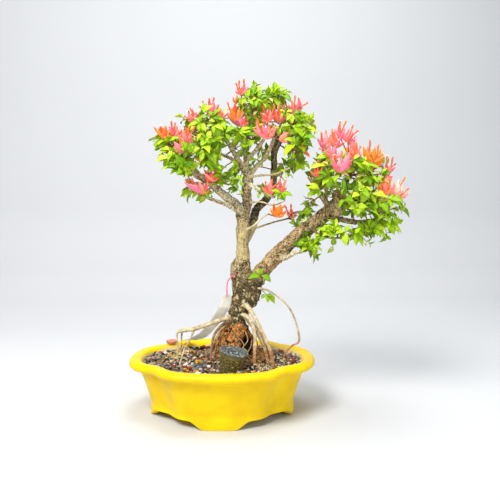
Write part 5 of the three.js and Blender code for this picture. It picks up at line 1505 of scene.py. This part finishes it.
LEAF_GREENS = [(172, 214, 6), (150, 198, 4), (192, 226, 22), (124, 172, 6), (162, 206, 2), (90, 138, 8),
  (206, 232, 52), (178, 216, 10), (104, 152, 8)]
YOUNG_GREENS = [(196, 226, 44), (212, 232, 84), (178, 216, 18)]
TWIG_GREEN = (130, 110, 60)
TWIG_BROWN = (134, 96, 58)


def leaf_tint(row, key, k, young, shade):
    greens = YOUNG_GREENS if young else LEAF_GREENS
    pick = draws_from(60, 5, row, key, k)
    tone = mixed(linear(picked(greens, pick[0])), linear(picked(greens, pick[1])), 0.5 * pick[2])
    if pick[3] > 0.985:
        tone = linear(CREAM_LEAF)
    return tone * (0.86 + 0.28 * pick[4]) * (1 - shade)


def bloom_boxes():
    """Pixel box and depth of each bloom in front: left, right, top, bottom, depth."""
    boxes = []
    for name, cups in CUPS.items():
        for (foot, _, tips, _), (_, y, _, _) in zip(cups, BLOOMS[name][1:]):
            low, high = np.min([foot, *tips], axis=0), np.max([foot, *tips], axis=0)
            boxes.append((low[0] - 1, high[0] + 1, low[1] - 1, high[1] - 1, y + 4))
    return np.array(boxes)


BLOOM_BOXES = bloom_boxes()


def in_the_way(base, tip):
    """Whether a leaf would hide a front bloom or fill a place where branches show."""
    spot = mixed(base, tip, 0.6)
    u, v = photo_pixel(spot)
    middle_u, middle_v, half_u, half_v = CLEARINGS.T
    if spot[1] < CLEAR_DEPTH and (((u - middle_u) / half_u) ** 2 + ((v - middle_v) / half_v) ** 2 < 1).any():
        return True
    left, right, top, bottom, y = BLOOM_BOXES.T
    return ((spot[1] < y) & (left < u) & (u < right) & (top < v) & (v < bottom)).any()


def add_leaf(build, base, tip, up, width, seeds, young=False, shade=0.0, tint=None, is_placed=False):
    """A leaf, unless it is one of those left out. The seeds are three whole numbers."""
    if not is_placed and (draw(*seeds, 77) < LEFT_OUT or in_the_way(base, tip)):
        return
    pick = draws_from(70, 4, *seeds)
    rows = LEAF_ROWS if np.linalg.norm(np.asarray(tip) - base) > 10 else SMALL_LEAF_ROWS
    points, faces, uv = blade_parts(base, tip, width, up, rows, fold=0.06 + 0.26 * pick[0],
      arch=0.03 + 0.11 * pick[1], wave=0.03 + 0.05 * pick[2], thick=0.17, seed=pick[3])
    if tint is None:
        tint = leaf_tint(*seeds, young, shade if is_placed else shade + FILL_SHADE)
    build.add(points, faces, tint=tint, uv=uv)


def head_tiers(row, key):
    """The blades of a rosette, by the solids' rule: tiers with an offset along the axis."""
    tiers = []
    for level, tier in enumerate(LEAF_TIERS):
        count = 2 + math.floor(draw(row, key, level, 19) + 0.5) if level else 4
        spin = draw(row, key, level, 20) * 2 * math.pi
        blades = []
        for k in range(count):
            pick = draws_from(21, 7, row, key, level * 8 + k)
            extra = LONG_LEAF["extra"] if level == 0 and pick[1] < LONG_LEAF["share"] else 0
            long = tier["long"][0] + tier["long"][1] * pick[0] + extra
            rise = (tier["rise"][0] + tier["rise"][1] * pick[2]) * DEGREE
            room = math.tan(150 / count * DEGREE) * 0.4 * 2 * math.cos(rise)
            blades.append({"limits": tier["limits"], "rise": rise, "long": long,
              "turn": (spin + k / count * 2 * math.pi + 0.2 * (pick[3] - 0.5)) % (2 * math.pi),
              "wide": long * min(0.56 + 0.1 * pick[4], room), "droop": 0.1 * long * (pick[6] - 0.2)})
        tiers.append((level * UPPER_TIER, blades))
    return tiers


def add_free_head(build, place, axis, row, key, count, size, shade):
    """A rosette of leaves beyond those of the solids, which fills the canopy."""
    frame = frame_along(axis)
    for k in range(count):
        pick = draws_from(80, 5, row, key, k)
        upper = k >= 3
        rise = ((34 + 26 * pick[0]) if upper else (-12 + 40 * pick[0])) * DEGREE
        out, up = out_and_up(k * GOLDEN_TURN + 6.3 * draw(row, key, 0, 79), rise, frame)
        out = unit(out + (0, 0, -0.12 * pick[2]))
        long = (size[0] + size[1] * pick[1]) * (0.72 if upper else 1)
        centre = place + frame[2] * (3.0 if upper else 0)
        add_leaf(build, centre, centre + out * long, up, long * (0.48 + 0.13 * pick[3]), (row, key, k),
          young=upper and pick[4] > 0.4, shade=shade)


def shoots_of(name):
    """The numbers of the front shoots that grow nearest to the pads of a spray."""
    own = []
    for number, (u, v, y, *_) in enumerate(SHOOTS):
        eye = from_photo(u, v, y)
        gaps = {other: min(np.linalg.norm(eye - pad[:3]) - pad[3] for pad in pads)
          for other, pads in SPRAYS.items()}
        if min(gaps, key=gaps.get) == name:
            own.append(number)
    return own


def twig_to(build, place, carriers, radii, number):
    """A thin twig to a place from the nearest spot that can carry it. Returns the direction it ends in."""
    spots = np.vstack([carriers, BRANCH_SPOTS])
    start = spots[np.argmin(np.linalg.norm(spots - place, axis=1))]
    long = np.linalg.norm(place - start)
    bow = np.array([0.3 * (draw(number, 0, 0, 95) - 0.5), 0.3 * (draw(number, 1, 0, 95) - 0.5), 0.1]) * long
    middle = mixed(start, place, 0.5)
    build.add_stem([start, middle + bow, place], radii, 6, TWIG_BROWN if long > 14 else TWIG_GREEN)
    return unit(place - middle - bow + (0, 0, 1e-6))


def add_shoot(build, number, carriers):
    """A front shoot with its leaves, and fuller ones behind it."""
    u, v, y, *tips = SHOOTS[number]
    eye = from_photo(u, v, y)
    row = SHOOT_ROW + number
    twig_to(build, eye, carriers, (0.95, 0.55), row)
    for k, (tip_u, tip_v, *share) in enumerate(tips):
        pick = draws(5, row, k, 96)
        long = np.linalg.norm(from_photo(tip_u, tip_v, y) - eye)
        tip = from_photo(tip_u, tip_v, y + (pick[0] - 0.6) * 0.8 * long)
        wide = share[0] if share else 0.47 + 0.13 * pick[1]
        up = unit((0.8 * (pick[2] - 0.5), -0.45 - 0.5 * pick[3], 0.8))
        start = eye + (tip - eye) / np.linalg.norm(tip - eye) * 0.5
        own = ODD_LEAVES.get((tip_u, tip_v))
        add_leaf(build, start, tip, up, long * wide, (row, k, 0), is_placed=True,
          shade=0.45 if (u, v) in SHADED_SHOOTS else 0.12 * pick[4], tint=None if own is None else linear(own))
    if v > LOWEST_FULL:
        return
    for layer, (behind, shade) in enumerate(BACK_LAYERS):
        pick = draws(4, row, layer, 97)
        place = eye + (14 * (pick[0] - 0.5), behind * (0.75 + 0.5 * pick[1]), 12 * (pick[2] - 0.6))
        back_row = BACK_ROW + 100 * layer
        axis = twig_to(build, place, carriers, (0.9, 0.5), back_row + number)
        add_free_head(build, place, unit(axis + (0, 0.1, 0.5)), back_row, number, 6 + int(pick[3] * 2.5),
          (11.5, 7.5), shade)


def on_ball(turn, drop):
    """A direction by its turn and by how far it lies below the top of a ball of radius 1."""
    tilt = math.acos(1 - drop)
    return np.array([math.sin(tilt) * math.cos(turn), math.sin(tilt) * math.sin(turn), math.cos(tilt)])


def find_head(solid, middle, radius, hub, frame, row, key, i, count):
    """The place and axis of a rosette of the solid, or None where it has none."""
    for attempt in range(12):
        turn = i * GOLDEN_TURN + attempt * 0.8 + draw(row, key, attempt, 11)
        out = on_ball(turn, 1.25 * (i + 0.35 + 0.3 * draw(row, key, attempt, 12)) / count)
        place = middle + (out * radius) @ frame
        axis = unit(unit(place - hub) + (0, 0, 0.35))
        if solid.has(place + axis * (UPPER_TIER + BLADE_HALF)) or solid.has(place + axis * BLADE_HALF):
            return place, axis
    return None


def make_spray(name, pads, row, materials):
    solid = Solid(name)
    build = Build()
    hubs = []
    for x, y, z, radius, _ in pads:
        middle = np.array([x, y, z], float)
        near = nearest_spots(middle)[0]
        away = unit(middle - near)
        reach = max(np.linalg.norm(middle - near) - 0.7 * radius, HUB_REACH)
        hubs.append((middle, away, near + away * reach))
    root, fork = find_root(solid, [hub for *_, hub in hubs])
    for index, ((middle, away, hub), (*_, radius, count)) in enumerate(zip(hubs, pads)):
        frame = frame_along(away + (0, 0, 0.5))
        build.add_stem(stem_path(root, fork, hub, index, len(hubs)), (1.25, 0.9), 7, TWIG_BROWN)
        if name == SPROUT:
            continue
        for i in range(count):
            key = index * 16 + i
            head = find_head(solid, middle, radius, hub, frame, row, key, i, count)
            if head:
                add_head(build, solid, row, key, hub, *head)
        add_filling(build, row, index, middle, radius, hub, frame, count)
    carriers = [mixed(root, fork, k / 4) for k in range(1, 5)]
    carriers += [mixed(fork, hub, k / 5) for *_, hub in hubs for k in range(6)]
    for number in shoots_of(name):
        add_shoot(build, number, np.array(carriers))
    build.finish(f"{name}_leaves", [name], materials)


def add_head(build, solid, row, key, hub, place, axis):
    """A rosette with the leaves that the solid has."""
    bend = mixed(hub, place, 0.55) + (0, 0, 1.2)
    build.add_stem([hub, bend, place, place + axis * (UPPER_TIER + 1)], (0.85, 0.4), 6, TWIG_GREEN)
    frame = frame_along(axis)
    for level, (offset, blades) in enumerate(head_tiers(row, key)):
        centre = place + axis * offset
        for k, (blade, tip, up, scale) in enumerate(find_blades(solid, centre, frame, blades)):
            width = blade["wide"] * scale * 0.94
            add_leaf(build, centre, tip, up, width, (row, key, level * 8 + k), young=level == 1)


def add_filling(build, row, index, middle, radius, hub, frame, count):
    """More rosettes round a pad, between those of the solid."""
    for i in range(count):
        key = 200 + index * 40 + i
        pick = draws(3, row, key, 90)
        out = on_ball(i * GOLDEN_TURN + 2.1 + pick[0], 1.6 * (i + 0.5) / count)
        place = middle + (out * radius * (0.55 + 0.55 * pick[1])) @ frame
        axis = unit(unit(place - hub) + (0, 0, 0.3))
        inner = max(1 - np.linalg.norm(place - middle) / (radius * 1.2), 0)
        add_free_head(build, place, axis, row, key, 5 + int(pick[2] * 2.5), (11.5, 7), 0.35 * inner)
        build.add_stem([hub, mixed(hub, place, 0.6) + (0, 0, 1), place], (0.7, 0.4), 5, TWIG_GREEN)


# Blooms: colours of the bracts by the bloom's main colour
BRACT_TINTS = {
    "pink": [(255, 144, 166), (250, 124, 150), (255, 164, 176), (248, 112, 134), (255, 160, 152)],
    "coral": [(253, 124, 100), (255, 144, 120), (248, 104, 96), (255, 156, 130), (252, 136, 140)],
    "orange": [(254, 132, 24), (255, 148, 40), (250, 108, 40), (254, 150, 60), (252, 122, 70)],
    "amber": [(255, 140, 20), (255, 128, 24), (252, 150, 40), (255, 136, 30), (250, 122, 30)],
    "pale": [(255, 196, 180), (255, 176, 160), (255, 212, 190), (255, 160, 140), (255, 222, 196)]}
BASE_CREAM = (255, 196, 150)
TUBE_TINTS = [(238, 98, 40), (240, 116, 60), (228, 84, 50)]
STAR = (252, 242, 214)
STAR_EYE = (226, 196, 90)
STAR_ROWS = [(0, 0.3), (0.45, 1.0), (0.8, 0.75), (1, 0.2)]
BRACT_LIFT = 0.34
BRACT_WIDTH = 0.58
BRACT_EXTRA = {"pink": 1.2, "coral": 1.2, "orange": 1.6, "pale": 1.6, "amber": 4.2}
CUP_DEPTHS = (-0.5, 0.35, -0.25, 0.5, -0.6, 0.1, 0.3)


def bloom_tiers(span, row, index):
    """The bracts and tubes of a bloom, by the solids' rule: tiers with an offset along the axis."""
    counts = [4 if span > WIDE_BLOOM else 3, 3, 3 if span >= SMALL_BLOOM else 2]
    kept = [(tier, counts[i]) for i, tier in enumerate(BRACT_TIERS) if i != 1 or span >= SMALL_BLOOM]
    tiers = []
    for level, (tier, count) in enumerate(kept):
        is_tube = level == len(kept) - 1
        blades = []
        for k in range(count):
            pick = draws(4, 100 + row * 4 + index, level * 8 + k, 2)
            long = span * tier["share"] * (0.88 + 0.24 * pick[0])
            rise = (tier["rise"][0] + tier["rise"][1] * pick[1]) * DEGREE
            blades.append({"limits": tier["limits"], "rise": rise, "long": long, "is_tube": is_tube,
              "turn": (k + 0.5 * level) / count * 2 * math.pi + 0.3 * pick[2],
              "droop": 0 if is_tube else 0.1 * long * (pick[3] - 0.3)})
        tiers.append((level * 2 * BLADE_HALF, blades))
    return tiers


def add_bract(build, base, tip, up, width, color, seeds):
    pick = draws_from(100, 6, *seeds)
    tints = BRACT_TINTS[color if pick[0] < 0.8 or color == "amber" else "coral"]
    tint = mixed(linear(picked(tints, pick[1])), linear(tints[0]), 0.4 * pick[2])
    points, faces, uv = blade_parts(base, tip, width, up, BRACT_ROWS, fold=0.25 + 0.3 * pick[3],
      arch=-0.12 - 0.1 * pick[4], wave=0.04 + 0.05 * pick[5], thick=0.13, seed=pick[2])
    pale = np.clip(1 - uv[:, 0] / 0.3, 0, 1) * 0.35
    build.add(points, faces, tint=stained(tint, BASE_CREAM, pale) * (0.9 + 0.2 * pick[5]), uv=uv)


def add_flower_tube(build, base, tip, seeds):
    """A slender tube that ends in a small open star or a bud."""
    pick = draws_from(120, 5, *seeds)
    base, tip = np.asarray(base, float), np.asarray(tip, float)
    ahead = unit(tip - base)
    bow = unit(np.cross(ahead, (pick[0] - 0.5, pick[1] - 0.5, 0.7))) * np.linalg.norm(tip - base) * 0.07
    spots = [(*base, 0.8), (*(mixed(base, tip, 0.3) + bow), 1.15), (*(mixed(base, tip, 0.65) + bow), 0.95)]
    is_open = pick[2] < 0.34
    if is_open:
        spots.append((*mixed(base, tip, 0.9), 1.1))
    else:
        spots += [(*mixed(base, tip, 0.88), 1.4), (*tip, 0.8)]
    build.add_tube(smooth_line(spots, 2.2), 7, kind=1, tint=linear(picked(TUBE_TINTS, pick[3])))
    if not is_open:
        return
    frame = frame_along(ahead)
    centre = mixed(base, tip, 0.93)
    reach = 2.9 + 0.8 * pick[4]
    for k in range(5):
        turn = k / 5 * 2 * math.pi + pick[0] * 3
        out = np.array([math.cos(turn), math.sin(turn), 0.16]) @ frame
        points, faces, _ = blade_parts(centre, centre + out * reach, 1.9, ahead, STAR_ROWS, fold=0.1,
          arch=0.12, thick=0.12)
        build.add(points, faces, kind=1, tint=linear(STAR))
    build.add_tube([(*centre, 0.55), (*(centre + ahead * 0.7), 0.5)], 6, kind=1, tint=linear(STAR_EYE))


def make_bloom_row(name, row, materials):
    color, *blooms = BLOOMS[name]
    cups = CUPS.get(name)
    solid = Solid(name)
    build = Build()
    spots = []
    for index, (x, y, z, span) in enumerate(blooms):
        if cups:
            foot, _, tips, _ = cups[index]
            base = from_photo(*foot, y)
            axis = unit(np.mean([from_photo(*tip, y) for tip in tips], axis=0) - base)
        else:
            middle = np.array([x, y, z], float)
            away = unit(middle - nearest_spots(middle)[0])
            axis = unit(away + (0, -0.5 if y < 0 else 0.4, 0.75))
            base = middle - axis * 0.32 * span
        spots.append((span, axis, base))
    root, fork = find_root(solid, [spot[2] for spot in spots])
    for index, (span, axis, base) in enumerate(spots):
        build.add_stem(stem_path(root, fork, base, index, len(spots)), (1.15, 0.8), 7, TWIG_GREEN, kind=2)
        if cups:
            add_cup(build, cups[index], axis, base, row * 4 + index)
        else:
            add_bloom(build, solid, row, index, color, span, axis, base)
    build.finish(f"{name}_flowers", [name], materials)


def add_cup(build, cup, axis, base, number):
    """A bloom whose bracts and tubes end at pixels of the photograph, with a fuller back."""
    _, color, tips, tubes = cup
    longs = [np.linalg.norm(from_photo(*tip, base[1]) - base) for tip in tips]
    for k, (tip, long) in enumerate(zip(tips, longs)):
        end = from_photo(*tip, base[1] + CUP_DEPTHS[k % len(CUP_DEPTHS)] * long)
        inward = base + axis * long - end + (0, 0.01, 0)
        width = long * (0.31 + 0.14 * draw(number, k, 0, 110)) + BRACT_EXTRA[color]
        add_bract(build, base, end, inward, width, color, (number, k, 111))
    widest = max(longs)
    back = unit(np.cross(axis, np.cross((0, 1, 0), axis)))
    side = np.cross(axis, back)
    for k in range(3):
        pick = draws(3, number, k, 112)
        turn = (30 + 60 * k + 30 * pick[0]) * DEGREE
        rise = (38 + 20 * pick[1]) * DEGREE
        out = unit((back * math.sin(turn) + side * math.cos(turn)) * math.cos(rise) + axis * math.sin(rise))
        long = widest * (0.8 + 0.15 * pick[2])
        up = axis - out * (axis @ out)
        add_bract(build, base, base + out * long, up, long * 0.42, color, (number, k, 113))
    for k, tip in enumerate(tubes):
        depth = -0.42 * widest + 0.5 * widest * draw(number, k, 0, 114)
        add_flower_tube(build, base + axis, from_photo(*tip, base[1] + depth), (number, k, 115))


def add_bloom(build, solid, row, index, color, span, axis, base):
    """A bloom with the bracts and tubes that the solid has, and more between them."""
    frame = frame_along(axis)
    number = row * 4 + index
    widest = span * 0.5
    for level, (offset, blades) in enumerate(bloom_tiers(span, row, index)):
        centre = base + axis * offset
        for k, (blade, tip, up, scale) in enumerate(find_blades(solid, centre, frame, blades)):
            seeds = (number, level * 8 + k, 7)
            if blade["is_tube"]:
                add_flower_tube(build, centre, tip, seeds)
                continue
            long = blade["long"] * scale
            end = centre + unit(unit(tip - centre) + axis * BRACT_LIFT) * long
            add_bract(build, centre, end, up, long * BRACT_WIDTH, color, seeds)
            widest = max(widest, long)
    for k in range(3):
        pick = draws(3, number, 40 + k, 8)
        out, up = out_and_up(k * 2.094 + 1.0 + pick[0], (40 + 26 * pick[1]) * DEGREE, frame)
        long = widest * (0.8 + 0.22 * pick[2])
        centre = base + axis * 1.2
        add_bract(build, centre, centre + out * long, up, long * BRACT_WIDTH, color, (number, 60 + k, 9))
    for k in range(3):
        pick = draws(3, number, 70 + k, 8)
        turn = k * 2.1 + 6.3 * pick[0]
        lean = 0.2 + 0.5 * pick[1]
        out = unit(np.array([math.cos(turn) * lean, math.sin(turn) * lean, 1]) @ frame)
        start = base + axis * 1.5
        add_flower_tube(build, start, start + out * span * (0.6 + 0.2 * pick[2]), (number, 80 + k, 9))


# Fertiliser basket: made upright round its axis in mm, then leant and placed
def lean_basket(points):
    x, y = (angle * DEGREE for angle in BASKET_TILT)
    return turned(turned(points, 0, x), 1, y) + BASKET_FOOT


def shell_with_holes(outer, inner, around, rows, is_hole):
    """A closed wall between two skins, each a stack of rings, with holes cut through at some cells."""
    faces = []
    size = around * rows
    for row in range(rows - 1):
        for i in range(around):
            if is_hole(row, i):
                continue
            j = (i + 1) % around
            a, b, c, d = row * around + i, row * around + j, (row + 1) * around + j, (row + 1) * around + i
            faces += [(a, b, c, d), (size + d, size + c, size + b, size + a)]
            if row == 0 or is_hole(row - 1, i):
                faces.append((b, a, size + a, size + b))
            if row == rows - 2 or is_hole(row + 1, i):
                faces.append((d, c, size + c, size + d))
            if is_hole(row, (i - 1) % around):
                faces.append((a, d, size + d, size + a))
            if is_hole(row, j):
                faces.append((c, b, size + b, size + c))
    return np.vstack([*outer, *inner]), faces


def ring_at(radius, z, around):
    turn = circle_turns(around)
    return np.stack([radius * np.cos(turn), radius * np.sin(turn), np.full(around, z)], axis=1)


def leant_rings(profile, base, around):
    """Rings of the basket, from rows of radius and height."""
    return [lean_basket(ring_at(radius, base + z, around)) for radius, z in profile]


def make_cup(material):
    foot, mouth = BASKET_RADIUS
    levels = np.arange(3.6, BASKET_HEIGHT - 2.5, 2.0)
    levels = np.concatenate([[0.3, 2], levels, [BASKET_HEIGHT - 1.6, BASKET_HEIGHT]])
    radii = foot + (mouth - foot) * levels / BASKET_HEIGHT

    def is_hole(row, i):
        return 2 <= row < len(levels) - 3 and row % 2 == 0 and i % 4 in (1, 2)
    outer, inner = (leant_rings(zip(radii - inset, levels), 0, CUP_CELLS) for inset in (0, BASKET_WALL))
    cup = Build()
    cup.add(*shell_with_holes(outer, inner, CUP_CELLS, len(levels), is_hole))
    cup.add_rings(leant_rings([(0.1, 0), (foot + 0.1, 0), (foot + 0.1, 1.4), (0.1, 1.4)], 0, CUP_CELLS))
    cup.finish("basket_cup", ["fertiliser_cup"], [material], sharp=40)


def make_lid(material):
    top = BASKET_HEIGHT + 0.3

    def is_slit(row, i):
        return row % 2 and (i + row) % 4 < 2
    under, over = (leant_rings([(r, z + lift) for r, z in LID_PROFILE], top, LID_CELLS)
      for lift in (-0.7, 0.6))
    lid = Build()
    lid.add(*shell_with_holes(under, over, LID_CELLS, len(LID_PROFILE), is_slit))
    rim = leant_rings(LID_RIM, top, 72)
    lid.add(np.vstack(rim), torus_faces(len(rim), 72))
    lid.add_rings(leant_rings(LID_BOSS, top, 24))
    lid.finish("basket_lid", ["fertiliser_lid"], [material], sharp=40)


def make_pellets(material):
    low, high = (radius - BASKET_WALL - 0.5 for radius in BASKET_RADIUS)
    core = [(low, 2.2), (low + (high - low) * 0.8, BASKET_HEIGHT - 6), (8, BASKET_HEIGHT - 4)]
    pellets = Build()
    # the core of the fill is painted dark as the shade in the gaps between pellets
    pellets.add_rings(leant_rings(core, 0, 40), tint=linear(PELLET_GAP_SHADE))
    for i in range(PELLETS):
        pick = draws(4, 500, i, 4)
        z = 3.5 + (BASKET_HEIGHT - 8) * pick[0]
        reach = low + (high - low) * z / BASKET_HEIGHT - 0.9
        turn = i * GOLDEN_TURN
        spot = np.array([reach * math.cos(turn), reach * math.sin(turn), z])
        points, faces = grain_parts(np.zeros(3), 1.9, 501, i)
        light = 0.06 if pick[2] < 0.5 else 1 + 0.2 * pick[3]
        pellets.add(lean_basket(points * 0.95 + spot), faces, tint=linear(PELLET) * light)
    pellets.finish("basket_pellets", ["fertiliser_pellets"], [material], smooth=False)


def torus_faces(rows, around):
    return [(r * around + i, r * around + (i + 1) % around, (r + 1) % rows * around + (i + 1) % around,
      (r + 1) % rows * around + i) for r in range(rows) for i in range(around)]


# Label and wire
def units(rows):
    return rows / np.linalg.norm(rows, axis=1, keepdims=True)


def make_label(label_material, wire_material):
    line = smooth_line(LABEL_LINE, 2.0)
    along = directions(line)
    facing = units(np.stack([-along[:, 2], np.zeros(len(line)), along[:, 0]], axis=1))
    level = units(np.stack([along[:, 1], -along[:, 0], np.zeros(len(line))], axis=1))
    share = np.linspace(0, 1, len(line))[:, None] ** 2
    across = units(facing * (1 - share) + level * share)
    normal = np.cross(along, across)
    reach = np.cumsum(np.r_[0, np.linalg.norm(np.diff(line, axis=0), axis=1)])
    width = LABEL_WIDTH / 2 * smoothstep(reach, -6, 3.5)
    columns = [line + across * (s * width)[:, None] + normal * (t * LABEL_THICK / 2 - LABEL_BOW * s * s)
      for s, t in LABEL_SECTION]
    build = Build()
    build.add(np.stack(columns, axis=1), loft_faces(len(line), len(LABEL_SECTION)))
    label = build.finish("label_strip", ["label"], [label_material], sharp=60)
    x, z = LABEL_EYE
    cut_away(label, [hole_cutter((x, -18, z), (x, -2, z), LABEL_EYE_RADIUS, 20)])
    wire = Build()
    wire.add_tube(smooth_line([(*spot, WIRE_RADIUS) for spot in WIRE_LINE], 1.2), 12)
    wire.finish("label_tie", ["label_wire"], [wire_material])


def make_screens(material):
    """The mesh squares over the drain holes, woven from crossing threads."""
    half = SCREEN_SIZE / 2
    for side, x in (("left", -DRAIN_X), ("right", DRAIN_X)):
        build = Build()
        for k in range(SCREEN_THREADS):
            offset = (k / (SCREEN_THREADS - 1) - 0.5) * (SCREEN_SIZE - 1)
            along_y = ((offset, -half), (offset, half))
            along_x = ((-half, offset), (half, offset))
            for ends, lift in ((along_y, 0.15), (along_x, -0.15)):
                line = [(x + a, b, FLOOR_Z + 0.9 + lift, THREAD_RADIUS) for a, b in ends]
                build.add_tube(line, 6, round_end=False)
        build.finish(f"screen_{side}", [f"drain_screen_{side}"], [material])


# Assembly
bark = bark_shader()
soil = grain_shader("soil", 0.9, 0.6)
green_twig = twig_shader()
bloom_materials = [bract_shader(), tube_shader(), green_twig]
leaf_materials = [leaf_shader(), green_twig]

make_pot(glaze_shader())
make_wood("bark", [name for name in LIMBS if name not in ROOT_LIMBS], BARK_VOXEL, bark, 1.0)
make_wood("roots", ROOT_LIMBS, ROOT_VOXEL, bark, 1.1)
make_mound(mound_shader())
make_rootlets(bark)
make_bed(soil)
make_granules(soil)
make_stones(grain_shader("stone", 0.85, 0.5))
make_cup(plastic_shader("basket_green", CUP_OLIVE, 0.45, 0.3))
# painted reflection: light flecks over the grey lid
make_lid(plastic_shader("basket_grey", LID_GREY, 0.36, 0.8, LID_REFLECTION_FLECK, 3.2))
# painted light: the pellets glow so that they show bright in the shaded holes of the basket
make_pellets(grain_shader("pellets", painted_glow=0.35))
make_label(label_shader(), plastic_shader("wire", WIRE_PINK, 0.45))
make_screens(plastic_shader("drain_mesh", MESH_BLACK, 0.6))
for row, name in enumerate(BLOOMS):
    make_bloom_row(name, row, bloom_materials)
for row, (name, pads) in enumerate(SPRAYS.items()):
    make_spray(name, pads, row, leaf_materials)


# Stage, light and camera
TREE_MIDDLE = (0, 0, 0.24)
LIGHTS = {  # place, size and power, and colour
  "key": ((-0.75, -0.95, 1.5), 0.7, 36, (1.0, 0.985, 0.95)),
  "fill": ((0.9, -1.5, 0.55), 1.4, 10, (0.94, 0.97, 1.0)),
  "top": ((0.1, 0.05, 1.75), 0.9, 19, (1.0, 1.0, 0.98))}


def make_stage():
    rows = [(-2.4, 0), (0.55, 0), (0.8, 0.02), (0.98, 0.1), (1.1, 0.3), (1.14, 0.7), (1.14, 2.6)]
    points = [(x, y, z) for y, z in rows for x in (-3.2, 3.2)]
    faces = [(2 * i, 2 * i + 1, 2 * i + 3, 2 * i + 2) for i in range(len(rows) - 1)]
    mesh = bpy.data.meshes.new("stage")
    mesh.from_pydata(points, [], faces)
    mesh.polygons.foreach_set("use_smooth", [True] * len(faces))
    paper = Shader("stage", Base_Color=(0.62, 0.63, 0.65, 1), Roughness=0.9, Specular_IOR_Level=0.1)
    mesh.materials.append(paper.material)
    stage = new_object("stage", mesh)


def add_light(name, place, size, watts, color):
    light = bpy.data.lights.new(name, "AREA")
    light.shape, light.size, light.energy, light.color = "SQUARE", size, watts, color
    lamp = new_object(name, light)
    lamp.location = place
    lamp.rotation_euler = (Vector(TREE_MIDDLE) - Vector(place)).to_track_quat("-Z", "Y").to_euler()


make_stage()
for name, look in LIGHTS.items():
    add_light(name, *look)
world = bpy.data.worlds.new("studio")
world.use_nodes = True
background = world.node_tree.nodes["Background"]
background.inputs[0].default_value = (0.9, 0.94, 1.0, 1)
background.inputs[1].default_value = 0.28
bpy.context.scene.world = world

lens = bpy.data.cameras.new("camera")
lens.lens, lens.sensor_width = 36, 36
camera = new_object("camera", lens)
camera.location = to_row([CAMERA])[0]
camera.rotation_euler = ((90 + CAMERA_PITCH) * DEGREE, 0, -CAMERA_YAW * DEGREE)
bpy.context.scene.camera = camera
bpy.context.scene.view_settings.view_transform = "Standard"
